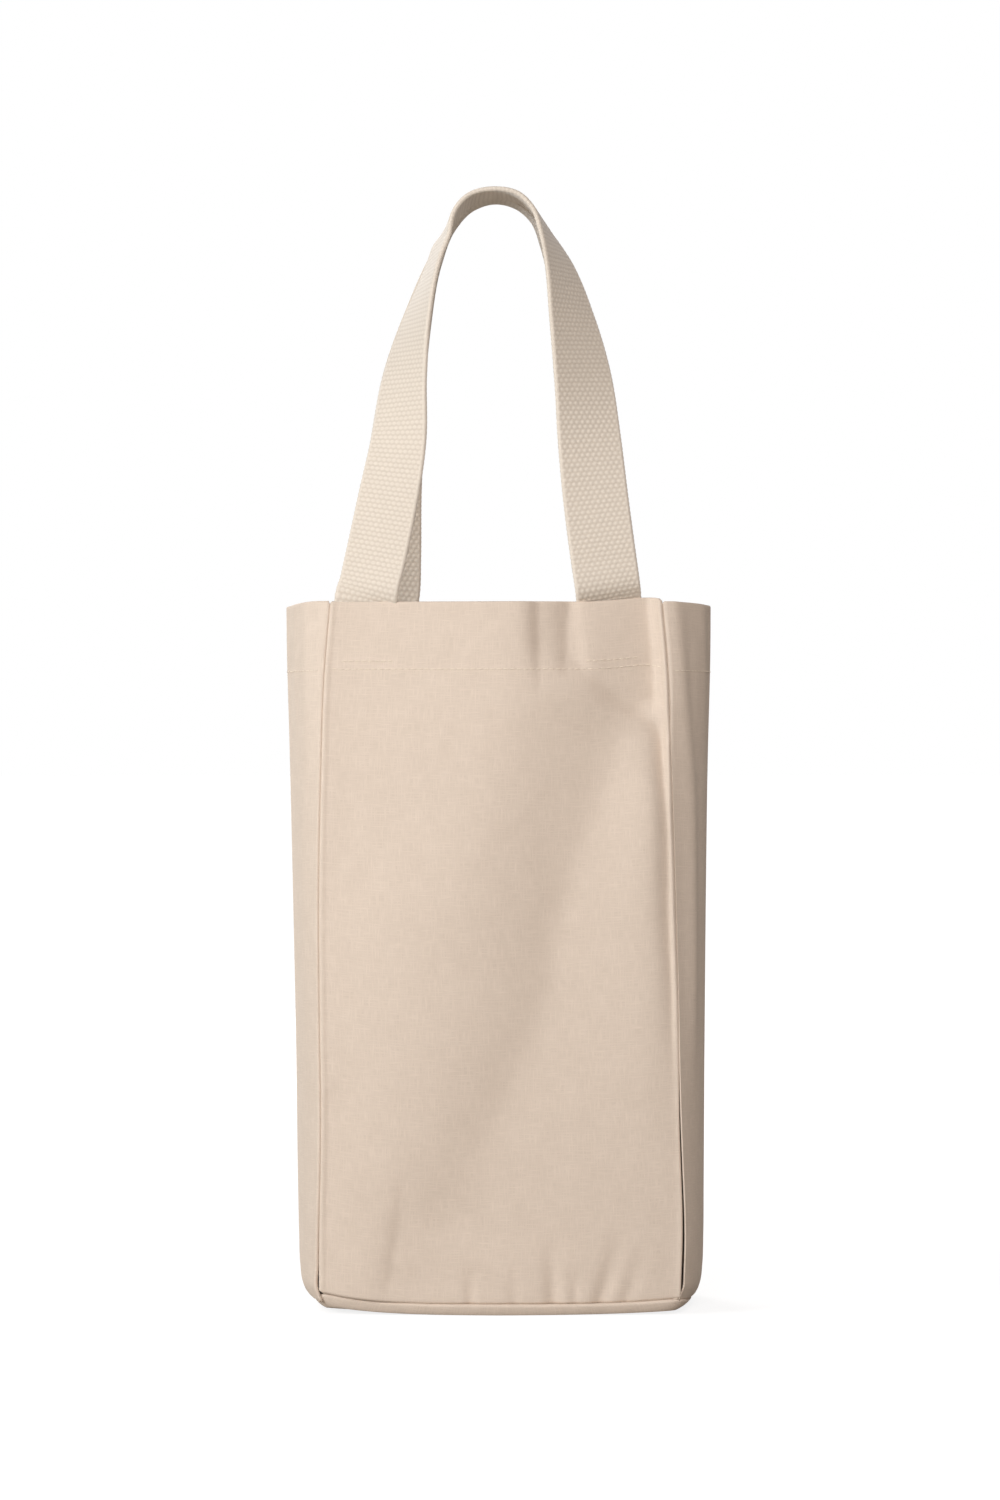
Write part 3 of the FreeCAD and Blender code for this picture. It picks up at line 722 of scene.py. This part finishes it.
def divider_leaf(name, facing):
    """One leaf: a wall at the middle with a bend and a tab at both ends, cut away below the tabs."""
    z = np.linspace(DIVIDER_FOOT, DIVIDER_TOP, 120)[:, None]
    tab_foot = DIVIDER_TOP - TAB_HEIGHT
    tab = np.linspace(TAB_WIDTH, 0, 8, endpoint=False)
    bend = np.linspace(0, math.pi / 2, 6, endpoint=False)
    x_end = np.concatenate([TAB_BEND + tab, TAB_BEND * (1 - np.sin(bend)), [0]])
    y_end = np.concatenate([0 * tab, TAB_BEND * (1 - np.cos(bend)), [TAB_BEND]])
    gap = TAB_GAP + FREE_GAP * fade(z, tab_foot, tab_foot - FREE_RUN)
    front = -(behind_hem(facing * (x_end + CANVAS), z, front_folds, gap) - y_end)
    back = behind_hem(-facing * (x_end + CANVAS), z, back_folds, gap) - y_end
    share = np.linspace(0, 1, 40)[1:-1]
    wall = front[:, -1:] + (back[:, -1:] - front[:, -1:]) * share
    y = np.concatenate([front, wall, back[:, ::-1]], axis=1)
    bow = DIVIDER_BOW * np.sin(math.pi * (z - DIVIDER_FOOT) / BOW_HEIGHT) * np.cos(y / BOW_DEPTH)
    x = CANVAS + np.concatenate([x_end, 0 * share, x_end[::-1]])
    x = facing * x + bow * fade(z, tab_foot, tab_foot - BOW_RUN)
    points = np.stack(np.broadcast_arrays(x, y, z), axis=-1)
    kept = np.ones((len(z) - 1, points.shape[1] - 1), bool)
    low = z[:-1, 0] < tab_foot
    kept[low, :len(tab)] = False
    kept[low, -len(tab):] = False
    if facing < 0:
        points, kept = points[:, ::-1], kept[:, ::-1]
    piece = grid_piece(name, points, flat_cut(points), kept=kept)
    give_thickness(piece, CANVAS)
    return piece


divider_parts = [divider_leaf("divider_right_leaf", 1), divider_leaf("divider_left_leaf", -1)]
print("divider leaves", [len(piece.data.polygons) for piece in divider_parts])

# %% [markdown]
# ## Lines of the handles
# Each handle is one strap of webbing. It starts doubled under behind the hem, runs up, twists a quarter
# turn so that it lies flat along the top, and comes down the same way on the other side. Its fall could
# come from a simulation. It is drawn as the photo shows it and moved back to its own depth.

# %% Handle lines
WEBBING = 32.4
HALF_THICK = 1.25
RIB_ACROSS = 1.4
RIB_ALONG = 2.35
RIB_HEIGHT = 0.28
LEG_DEPTH = 40.6
CROWN_DEPTH = 16.6
LEAN_POWER = 1.5
CROWN_SEEN = 549.2
BACK_DROP = 3.0
END_CLEAR = 0.2
STEPS_PER_RIB = 3

# Rows of (seen x, seen z, twist in degrees) on the front plane, from the left hem to the right one.
FRONT_ROUTE = [(-63.6, 356, 21), (-60.4, 370, 21), (-54.3, 399, 22.5), (-49.0, 428, 32), (-46.1, 458, 48),
               (-40.2, 487, 66), (-31.4, 516, 79), (-27.6, 526, 79), (-22.6, 536, 91), (-13.0, 546.6, 91),
               (-1.7, CROWN_SEEN, 90), (9.8, 547, 89), (16.9, 541, 87), (24.2, 528, 78), (29.2, 516, 67),
               (36.3, 487, 46), (41.4, 458, 28), (44.5, 428, 14), (47.6, 399, 6), (51.4, 370, 4),
               (53.4, 356, 7)]
BACK_ROUTE = [(-53.6, 356, 9), (-53.2, 370, 10), (-52.2, 399, 22), (-49.6, 428, 37), (-46.2, 458, 51),
              (-39.8, 487, 68), (-30.9, 516, 84), (-22.4, 532.8, 91), (-12.6, 542.8, 92),
              (-1.7, CROWN_SEEN - BACK_DROP, 92), (9.6, 543.2, 92), (16.7, 537.6, 90), (24.0, 525, 82),
              (28.9, 514, 73), (36.0, 487, 55), (41.0, 458, 38), (44.4, 428, 24), (47.8, 399, 12),
              (51.2, 370, 9), (52.8, 356, 9)]

# A sewn end from its cut edge up to the hem line: drop below that line, and gap behind the hem.
SEWN_DROP = np.array([14, 20, 26, 28.2, 29.1, 28.2, 26, 20, 15, 8, 0])
SEWN_GAP = np.array([0.0, 0, 0, 0.1, 1.1, 2.1, 2.2, 2.2, 2.0, 0.3, 0])
SEWN_GAP = SEWN_GAP + HALF_THICK + RIB_HEIGHT + END_CLEAR

# Sewn ends as (shift of x from the leg, lean in mm per mm of drop, twist in degrees).
LEFT_END = (-1.2, 0.0, 10.5)
RIGHT_END = (0.9, 0.1, 8.5)


def sewn_end(x, lean, folds, facing):
    """Points from the strap's cut end up to the hem's edge: doubled under over its last stretch."""
    z = HEIGHT - SEWN_DROP
    place = x + lean * SEWN_DROP
    y = -facing * behind_hem(facing * place, z, folds, SEWN_GAP)
    return np.stack([place, y, z], axis=-1)


def strap_line(route, folds, facing):
    """Centreline and twist of a strap, evenly spaced: sewn ends and seen route as one smooth curve."""
    seen_x, seen_z, twist = np.array(route, float).T
    rise = np.clip((seen_z - HEIGHT) / (CROWN_SEEN - HEIGHT), 0, 1)
    y = -facing * (LEG_DEPTH - (LEG_DEPTH - CROWN_DEPTH) * rise**LEAN_POWER)
    leg = at_depth(seen_x, seen_z, y)
    start = sewn_end(leg[0, 0] + LEFT_END[0], LEFT_END[1], folds, facing)
    end = sewn_end(leg[-1, 0] + RIGHT_END[0], RIGHT_END[1], folds, facing)
    points = np.concatenate([start, leg, end[::-1]])
    twist = np.concatenate([np.full(len(start), LEFT_END[2]), twist, np.full(len(end), RIGHT_END[2])])
    run = run_along(points)
    fine = np.linspace(0, run[-1], 4000)
    curve = np.stack([through(run, column)(fine) for column in (*points.T, twist)], axis=-1)
    length = run_along(curve[:, :3])
    even = np.linspace(0, length[-1], int(STEPS_PER_RIB * length[-1] / RIB_ALONG))
    return even, np.stack([np.interp(even, length, column) for column in curve.T], axis=-1)


# %% [markdown]
# ## Webbing
# Webbing is a thick ribbed band. A flat ribbon with a picture of ribs would look thin at its edges, so the
# strap is a flat tube along its line, and its two faces carry the weave as real bumps. The ribs are worn
# flatter over the left part of the loop, where the photo shows the webbing smoother.

# %% Webbing
WORN = 0.75
WORN_STRETCH = (0.24, 0.38)
WORN_END_STRETCH = (0.62, 0.52)
STEEP = 0.5
EDGE_RIB = 0.12
SELVEDGE_SOFT = 0.6
END_PINCH = 0.02


def strap_directions(along, centre, twist, facing):
    """Directions across the strap and out of its face: the level normal of its line, turned by the twist."""
    tangent = np.gradient(centre, axis=0)
    tangent /= np.linalg.norm(tangent, axis=1)[:, None]
    front = np.array([0, -facing, 0.0])
    known = np.abs(tangent[:, 1]) <= STEEP
    turn = np.unwrap(np.arctan2(tangent[known, 2], tangent[known, 0]), period=math.pi)
    turn = np.interp(along, along[known], turn)
    turn = turn - math.pi * np.round(turn[len(turn) // 2] / math.pi)
    inward = np.stack([np.sin(turn), 0 * turn, -np.cos(turn)], axis=-1)
    width = np.cos(twist)[:, None] * inward + np.sin(twist)[:, None] * front
    width -= tangent * np.sum(width * tangent, axis=1)[:, None]
    width /= np.linalg.norm(width, axis=1)[:, None]
    return width, np.cross(width, tangent)


def strap(name, route, folds, facing):
    """Webbing along its line: a flat tube whose faces carry bumps in rows that are set half a step apart."""
    along, line = strap_line(route, folds, facing)
    centre, twist = line[:, :3], np.radians(line[:, 3])
    width, face = strap_directions(along, centre, twist, facing)
    half = WEBBING / 2 - HALF_THICK
    over = np.linspace(-half, half, int(STEPS_PER_RIB * 2 * half / RIB_ACROSS))
    bend = np.linspace(math.pi / 2, -math.pi / 2, 5)[1:-1]
    round_end = half + HALF_THICK * np.cos(bend)
    across = np.concatenate([over, round_end, over[::-1], -round_end[::-1]])
    level = np.ones(len(over))
    thick = np.concatenate([level, np.sin(bend), -level, np.sin(bend[::-1])])
    rows = np.cos(2 * math.pi * along / RIB_ALONG)[:, None]
    bumps = np.cos(math.pi * across / RIB_ACROSS) * np.cos(math.pi * along[:, None] / RIB_ALONG)
    share = along[:, None] / along[-1]
    worn = WORN * fade(share, *WORN_STRETCH) * fade(share, *WORN_END_STRETCH)
    weave = (bumps + rows) / 2 * (1 - worn)
    flat = np.abs(thick) * fade(np.abs(across), half + SELVEDGE_SOFT, half - SELVEDGE_SOFT)
    height = thick * HALF_THICK + np.sign(thick) * flat * RIB_HEIGHT * weave
    height[[0, -1]] *= END_PINCH
    edge = EDGE_RIB * rows * (np.abs(across) > half)
    points = centre[:, None] + width[:, None] * (across + edge * np.sign(across))[..., None]
    points = points + face[:, None] * height[..., None]
    cut = np.stack(np.broadcast_arrays(across, along[:, None]), axis=-1)
    piece = grid_piece(name, points, cut, closed=True)
    print(name, "length", round(along[-1], 1), "mm, grid", points.shape[:2])
    return piece, along[-1]


front_strap, front_length = strap("front_handle_strap", FRONT_ROUTE, front_folds, 1)
back_strap, back_length = strap("back_handle_strap", BACK_ROUTE, back_folds, -1)

# %% [markdown]
# ## Stitches
# Every stitch is a short bead of thread that lies in the cloth. A dashed line in the colour would stay
# flat in raking light, so each bead is a small capsule, and one row is one mesh. The hem rows and the rows
# over the handle ends show outside. The seam rows run inside along the turned edges.

# %% Stitch beads
STITCH_PITCH = 3.2
STITCH_LENGTH = 2.5
THREAD = 0.24
UPRIGHT = 0.8
BEAD_SIDES = 8
BEAD_PROFILE = np.array([(-0.5, 0.05), (-0.44, 0.7), (-0.3, 1), (0.3, 1), (0.44, 0.7), (0.5, 0.05)])
stitch_parts = {}


def row_along(line):
    """Evenly spaced stitch centres on a line of points, and the directions there."""
    run = run_along(line)
    count = max(2, int(run[-1] / STITCH_PITCH))
    places = (np.arange(count) + 0.5) * run[-1] / count
    centres = np.stack([np.interp(places, run, column) for column in line.T], axis=-1)
    slopes = np.gradient(line, run, axis=0)
    return centres, np.stack([np.interp(places, run, column) for column in slopes.T], axis=-1)


def stitches(name, *lines):
    """Beads of thread on one or more lines: a capsule stretched along each stitch, all in one mesh."""
    made = [row_along(line) for line in lines]
    centres, runs = np.concatenate([row[0] for row in made]), np.concatenate([row[1] for row in made])
    ring = np.linspace(0, 2 * math.pi, BEAD_SIDES, endpoint=False)
    runs = runs / np.linalg.norm(runs, axis=1)[:, None]
    helper = np.where(np.abs(runs[:, 2:]) > UPRIGHT, [[0, 1.0, 0]], [[0, 0, 1.0]])
    side = np.cross(runs, helper)
    side /= np.linalg.norm(side, axis=1)[:, None]
    up = np.cross(runs, side)
    along = BEAD_PROFILE[:, 0, None, None] * STITCH_LENGTH * runs[:, None, None]
    around = np.cos(ring)[:, None] * side[:, None, None] + np.sin(ring)[:, None] * up[:, None, None]
    points = centres[:, None, None] + along + THREAD * BEAD_PROFILE[:, 1, None, None] * around
    size = len(BEAD_PROFILE) * BEAD_SIDES
    number = np.arange(size).reshape(len(BEAD_PROFILE), BEAD_SIDES)
    quads = quads_of(np.concatenate([number, number[:, :1]], axis=1)).reshape(-1, 4)
    quads = quads[None] + np.arange(len(centres))[:, None, None] * size
    flat = points.reshape(-1, 3)
    stitch_parts[name] = mesh_piece(name, flat, quads.reshape(-1, 4), flat[:, [0, 2]])


# %% Stitch rows
HEM_ROW = HEIGHT - 33.2
TACK_ROW = HEM_ROW + 4.0
TACK_HALF = 13
FRONT_TACKS = (-64.5, 55.5)
BACK_TACKS = (-53.5, 56.0)
HEM_INSET = 3
ARC_REACH = 0.96
SEAM_START = 16
SEAM_END = HEIGHT - 36
SEAM_INSET = 5.2
THREAD_CLEAR = 0.3
BASE_ROW = 2.6
BASE_REACH = (89, 45)
BASE_ROW_HALF = (80, 37)
FRONT_ROW_INSET = 3.6
FRONT_ROW_BOW = 2.4
SIDE_ROW_INSET = 4
SIDE_ROW_BOW = 2


def panel_row(first, last, z, folds, facing):
    """Line of points on a panel's outside at one distance below the hem line."""
    x = np.linspace(first, last, 200)
    z = z + hem_rise(x)
    return np.stack([facing * x, -facing * (panel_face(x, z, folds) + 0.3 * THREAD), z], axis=-1)


for label, folds, facing, legs in (("front", front_folds, 1, FRONT_TACKS),
                                   ("back", back_folds, -1, BACK_TACKS)):
    left, right = seams_of(folds, HEM_ROW)
    stitches(label + "_hem_stitching", panel_row(left + HEM_INSET, right - HEM_INSET, HEM_ROW, folds, facing))
    tacks = [panel_row(facing * leg - TACK_HALF, facing * leg + TACK_HALF, TACK_ROW, folds, facing)
             for leg in legs]
    stitches(label + "_handle_tacks", *tacks)
for label, seam, side, facing in (("left", left_seam, left_side, -1), ("right", right_seam, right_side, 1)):
    arc = np.column_stack([np.zeros((120, 3)), np.linspace(-ARC_REACH, ARC_REACH, 120)])
    x, y = gusset_plan(arc, seam, side, facing)(np.full((1, 1), HEM_ROW))
    line = np.stack([x[0] + facing * 0.5 * THREAD, y[0], np.full(120, HEM_ROW)], axis=-1)
    stitches(label + "_hem_stitching", line)
    for end, deep in (("front", -1), ("back", 1)):
        z = np.linspace(SEAM_START, SEAM_END, 120)
        x = seam(z) - facing * (CANVAS + THREAD_CLEAR)
        line = np.stack([x, deep * (seam_depth(z) - SEAM_INSET), z], axis=-1)
        stitches(f"{end}_{label}_seam_thread", line)
for end, deep in (("front", -1), ("back", 1)):
    x = np.linspace(-BASE_ROW_HALF[0], BASE_ROW_HALF[0], 100)
    across = x / BASE_REACH[0]
    y = deep * (BASE_HALF[1] - FRONT_ROW_INSET + FRONT_ROW_BOW * (1 - across**2))
    stitches(end + "_base_thread", np.stack([x, y, foot_line(across, x) + BASE_ROW], axis=-1))
for label, facing in (("left", -1), ("right", 1)):
    y = np.linspace(-BASE_ROW_HALF[1], BASE_ROW_HALF[1], 60)
    across = y / BASE_REACH[1]
    x = facing * (BASE_HALF[0] - SIDE_ROW_INSET + SIDE_ROW_BOW * (1 - across**2))
    stitches(label + "_base_thread", np.stack([x, y, foot_line(across, facing) + BASE_ROW], axis=-1))
print("stitch rows", len(stitch_parts))

# %% [markdown]
# ## Materials
# Canvas and webbing are matt cotton. A picture of cloth would repeat and stretch, so both are made by
# formulas on the flat cut of each piece. Slightly uneven threads give the canvas its grain. On the webbing
# the rib height is painted as shade: darker in the pits between the ribs and lighter on the raised edges.
# Each weave is a shader group: the canvas one puts out a tone and a height, the webbing one a height that
# also serves as its painted shade.

# %% Shader helpers


def new_group(name, inputs, outputs):
    """Empty shader group with its sockets, given as (name, kind)."""
    group = bpy.data.node_groups.new(name, "ShaderNodeTree")
    for label, kind in inputs:
        group.interface.new_socket(label, in_out="INPUT", socket_type=kind)
    for label, kind in outputs:
        group.interface.new_socket(label, in_out="OUTPUT", socket_type=kind)
    return group, group.nodes.new("NodeGroupInput"), group.nodes.new("NodeGroupOutput")


def add(tree, kind, values=None, **settings):
    """New node with settings and plain input values."""
    node = tree.nodes.new(kind)
    for label, value in settings.items():
        setattr(node, label, value)
    for label, value in (values or {}).items():
        node.inputs[label].default_value = value
    return node


def math_node(tree, operation, *values):
    """Math node whose inputs are sockets or numbers."""
    node = add(tree, "ShaderNodeMath", operation=operation)
    for number, value in enumerate(values):
        if isinstance(value, (int, float)):
            node.inputs[number].default_value = value
        else:
            tree.links.new(value, node.inputs[number])
    return node.outputs[0]


# %% Weaves
THREAD_SCALES = {"warp": (1500, 120, 1), "weft": (120, 1500, 1), "cloud": (90, 60, 1)}
CLOUD_SHARE = 0.2
# The selvedge lift raises the edges in the bump and also paints them lighter: a painted highlight.
SELVEDGE_LIFT_AND_HIGHLIGHT = 0.6
SELVEDGE_INSETS = (2, 1.2)


def thread_group():
    """Uneven threads: fine noise stretched along the warp and along the weft, plus broad cloudiness."""
    group, given, result = new_group("uneven_threads", [("Cut", "NodeSocketVector")],
                                     [("Tone", "NodeSocketFloat"), ("Height", "NodeSocketFloat")])
    made = {}
    for label, scale in THREAD_SCALES.items():
        stretch = add(group, "ShaderNodeVectorMath", {1: scale}, operation="MULTIPLY", name=label)
        group.links.new(given.outputs["Cut"], stretch.inputs[0])
        noise = add(group, "ShaderNodeTexNoise", {"Scale": 1, "Detail": 2, "Roughness": 0.6})
        group.links.new(stretch.outputs[0], noise.inputs["Vector"])
        made[label] = noise.outputs[0]
    threads = math_node(group, "MAXIMUM", made["warp"], made["weft"])
    cloud = math_node(group, "MULTIPLY", made["cloud"], CLOUD_SHARE)
    group.links.new(math_node(group, "MULTIPLY_ADD", threads, 1 - CLOUD_SHARE, cloud), result.inputs["Tone"])
    group.links.new(threads, result.inputs["Height"])
    return group


def rib_and_pit_shade_group():
    """Webbing weave: the mean of the mesh's bumps and rows, not worn, with edges that count as raised.

    Used as colour it is painted shade: darker in the pits between the ribs and lighter on the raised edges.
    """
    group, given, result = new_group("webbing_ribs_and_pit_shade", [("Cut", "NodeSocketVector")],
                                     [("Height", "NodeSocketFloat")])
    split = add(group, "ShaderNodeSeparateXYZ")
    group.links.new(given.outputs["Cut"], split.inputs[0])

    def wave(number, step):
        """Cosine along one direction of the cut that turns by pi in every step."""
        turn = math_node(group, "MULTIPLY", split.outputs[number], math.pi / (step * MM))
        return math_node(group, "COSINE", turn)

    bumps = math_node(group, "MULTIPLY", wave(0, RIB_ACROSS), wave(1, RIB_ALONG))
    both = math_node(group, "ADD", bumps, wave(1, RIB_ALONG / 2))
    weave = math_node(group, "MULTIPLY", both, 0.5)
    # In the webbing's colour the raised edges come out lighter: a painted highlight along the selvedges.
    first, last = ((WEBBING / 2 - inset) * MM for inset in SELVEDGE_INSETS)
    edge = add(group, "ShaderNodeMapRange", {"From Min": first, "From Max": last})
    group.links.new(math_node(group, "ABSOLUTE", split.outputs[0]), edge.inputs["Value"])
    raised = math_node(group, "MULTIPLY_ADD", edge.outputs[0], SELVEDGE_LIFT_AND_HIGHLIGHT, weave)
    group.links.new(raised, result.inputs["Height"])
    return group


# %% Cotton


def cotton(name, dark, light, group, tone_and_shade_output, low, high, bump, sheen):
    """Matt cotton: a tone from the group picks between two colours, and its height gives the grain.

    The canvas takes its uneven thread tone. The webbing takes its rib height, which paints shade into the
    pits.
    """
    material = bpy.data.materials.new(name)
    material.use_nodes = True
    tree = material.node_tree
    shader = tree.nodes["Principled BSDF"]
    shader.inputs["Roughness"].default_value = 0.92
    shader.inputs["Specular IOR Level"].default_value = 0.15
    shader.inputs["Sheen Weight"].default_value = sheen
    shader.inputs["Sheen Roughness"].default_value = 0.5
    cut = add(tree, "ShaderNodeUVMap", uv_map="cut")
    weave = add(tree, "ShaderNodeGroup", node_tree=group)
    tree.links.new(cut.outputs["UV"], weave.inputs["Cut"])
    spread = add(tree, "ShaderNodeMapRange", {"From Min": low, "From Max": high})
    tree.links.new(weave.outputs[tone_and_shade_output], spread.inputs["Value"])
    mix = add(tree, "ShaderNodeMix", data_type="RGBA")
    mix.inputs["A"].default_value = (*dark, 1)
    mix.inputs["B"].default_value = (*light, 1)
    tree.links.new(spread.outputs[0], mix.inputs["Factor"])
    tree.links.new(mix.outputs["Result"], shader.inputs["Base Color"])
    grain = add(tree, "ShaderNodeBump", {"Strength": bump, "Distance": 0.0004})
    tree.links.new(weave.outputs["Height"], grain.inputs["Height"])
    tree.links.new(grain.outputs["Normal"], shader.inputs["Normal"])
    return material


canvas = cotton("canvas", dark=(0.61, 0.508, 0.414), light=(0.742, 0.628, 0.522), group=thread_group(),
                tone_and_shade_output="Tone", low=0.3, high=0.75, bump=0.25, sheen=0.08)
# Painted shade: the webbing's colour follows its rib height, dark in the pits and light on the raised edges.
webbing = cotton("webbing", dark=(0.575, 0.495, 0.405), light=(0.715, 0.638, 0.543), group=rib_and_pit_shade_group(),
                 tone_and_shade_output="Height", low=-0.9, high=0.3, bump=0.1, sheen=0.4)
thread = bpy.data.materials.new("thread")
thread.use_nodes = True
thread.node_tree.nodes["Principled BSDF"].inputs["Base Color"].default_value = (0.78, 0.68, 0.56, 1)
thread.node_tree.nodes["Principled BSDF"].inputs["Roughness"].default_value = 0.8
print("materials", canvas.name, webbing.name, thread.name)

# %% [markdown]
# ## Light and surroundings
# The photo has soft light from the left on a white ground. One bare lamp would make hard shadows. A soft
# lamp on the left models the folds, a large one in front and a warmer one on the right fill in, and one
# behind lights the back. White is seen all round, and the floor keeps the shadow.

# %% Lamps
AIM = np.array([0, 0, 0.25])


def soft_light(name, place, size, power, colour):
    """Round area lamp that points at the bag."""
    data = bpy.data.lights.new(name, "AREA")
    data.shape = "DISK"
    data.size = size
    data.energy = power
    data.color = colour
    light = bpy.data.objects.new(name, data)
    light.location = place
    aim = AIM - np.array(place)
    tilt = math.acos(-aim[2] / np.linalg.norm(aim))
    light.rotation_euler = (tilt, 0, math.atan2(aim[1], aim[0]) - math.pi / 2)
    bpy.context.scene.collection.objects.link(light)


soft_light("key", place=(-1.5, -0.8, 0.65), size=0.6, power=18.5, colour=(0.965, 1.0, 1.035))
soft_light("fill", place=(0.0, -2.2, 0.8), size=1.4, power=22.2, colour=(1.0, 1.0, 1.03))
soft_light("rim", place=(0.7, -1.6, 2.0), size=0.8, power=10.5, colour=(1.1, 1.0, 0.94))
soft_light("behind", place=(-1.0, 1.9, 1.2), size=1.0, power=27.0, colour=(1.0, 1.0, 1.0))
print("lamps", len(bpy.data.lights))

# %% Surroundings


def seen_rays(tree):
    """1 for rays from the camera and for mirrored or refracted ones, which all see the white surroundings."""
    path = add(tree, "ShaderNodeLightPath")
    straight = math_node(tree, "MAXIMUM", path.outputs["Is Camera Ray"], path.outputs["Is Glossy Ray"])
    return math_node(tree, "MAXIMUM", straight, path.outputs["Is Transmission Ray"])


world = bpy.data.worlds.new("studio")
bpy.context.scene.world = world
world.use_nodes = True
tree = world.node_tree
tree.nodes.clear()
seen = add(tree, "ShaderNodeBackground", {"Color": (1, 1, 1, 1), "Strength": 1.0})
lit = add(tree, "ShaderNodeBackground", {"Color": (1.1, 1.0, 0.94, 1), "Strength": 0.155})
mix, out = add(tree, "ShaderNodeMixShader"), add(tree, "ShaderNodeOutputWorld")
tree.links.new(seen_rays(tree), mix.inputs["Fac"])
tree.links.new(lit.outputs["Background"], mix.inputs[1])
tree.links.new(seen.outputs["Background"], mix.inputs[2])
tree.links.new(mix.outputs["Shader"], out.inputs["Surface"])

# %% Floor
FLOOR_HALF = 40000.0
FLOOR_DROP = 0.1
corners = FLOOR_HALF * np.array([[-1, -1, 0], [1, -1, 0], [1, 1, 0], [-1, 1, 0.0]])
floor = mesh_piece("floor", corners - [0, 0, FLOOR_DROP], np.array([[0, 1, 2, 3]]), corners[:, :2])
pale = bpy.data.materials.new("pale_floor")
pale.use_nodes = True
tree = pale.node_tree
tree.nodes["Principled BSDF"].inputs["Base Color"].default_value = (0.36, 0.32, 0.27, 1)
tree.nodes["Principled BSDF"].inputs["Roughness"].default_value = 0.9
away = add(tree, "ShaderNodeVectorMath", operation="LENGTH")
tree.links.new(add(tree, "ShaderNodeTexCoord").outputs["Object"], away.inputs[0])
far = add(tree, "ShaderNodeMapRange", {"From Min": 0.2, "From Max": 1.6, "To Min": 0.83, "To Max": 1.0})
tree.links.new(away.outputs["Value"], far.inputs["Value"])
white = add(tree, "ShaderNodeEmission")
tree.links.new(far.outputs[0], white.inputs["Strength"])
shade = add(tree, "ShaderNodeBsdfDiffuse", {"Color": (0.3, 0.3, 0.3, 1)})
both, mix = add(tree, "ShaderNodeAddShader"), add(tree, "ShaderNodeMixShader")
tree.links.new(white.outputs[0], both.inputs[0])
tree.links.new(shade.outputs[0], both.inputs[1])
tree.links.new(seen_rays(tree), mix.inputs["Fac"])
tree.links.new(tree.nodes["Principled BSDF"].outputs[0], mix.inputs[1])
tree.links.new(both.outputs[0], mix.inputs[2])
tree.links.new(mix.outputs[0], tree.nodes["Material Output"].inputs["Surface"])
floor.data.materials.append(pale)
print("floor", FLOOR_HALF * 2 * MM, "m wide")

# %% [markdown]
# ## Hand the pieces to the frame
# On the real bag the cloth and the stitches stay with the bag, and each handle swings on the hem. Here the
# cloth, the divider and the stitches are attached to the bag, and each strap is left unattached where it is
# drawn.


def flat_size(piece):
    """Width and length of the flat cut in metres: the spread of the UV map."""
    uv = np.zeros(2 * len(piece.data.loops), np.float32)
    piece.data.uv_layers["cut"].data.foreach_get("uv", uv)
    size = np.ptp(uv.reshape(-1, 2), axis=0)
    print(piece.name, "flat", np.round(size / MM, 1), "mm")
    return float(size[0]), float(size[1])


for name, piece in cloth.items():
    piece.data.materials.append(canvas)
    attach(piece, "bag")
    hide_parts(name)
    flat_size(piece)
for piece in divider_parts:
    piece.data.materials.append(canvas)
    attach(piece, "bag")
    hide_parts("divider")
    flat_size(piece)
for name, piece in stitch_parts.items():
    piece.data.materials.append(thread)
    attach(piece, "bag")
    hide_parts(name)
for label, piece, length in (("front", front_strap, front_length), ("back", back_strap, back_length)):
    piece.data.materials.append(webbing)
    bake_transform(piece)
    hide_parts(label + "_handle", label + "_left_handle_end", label + "_right_handle_end")
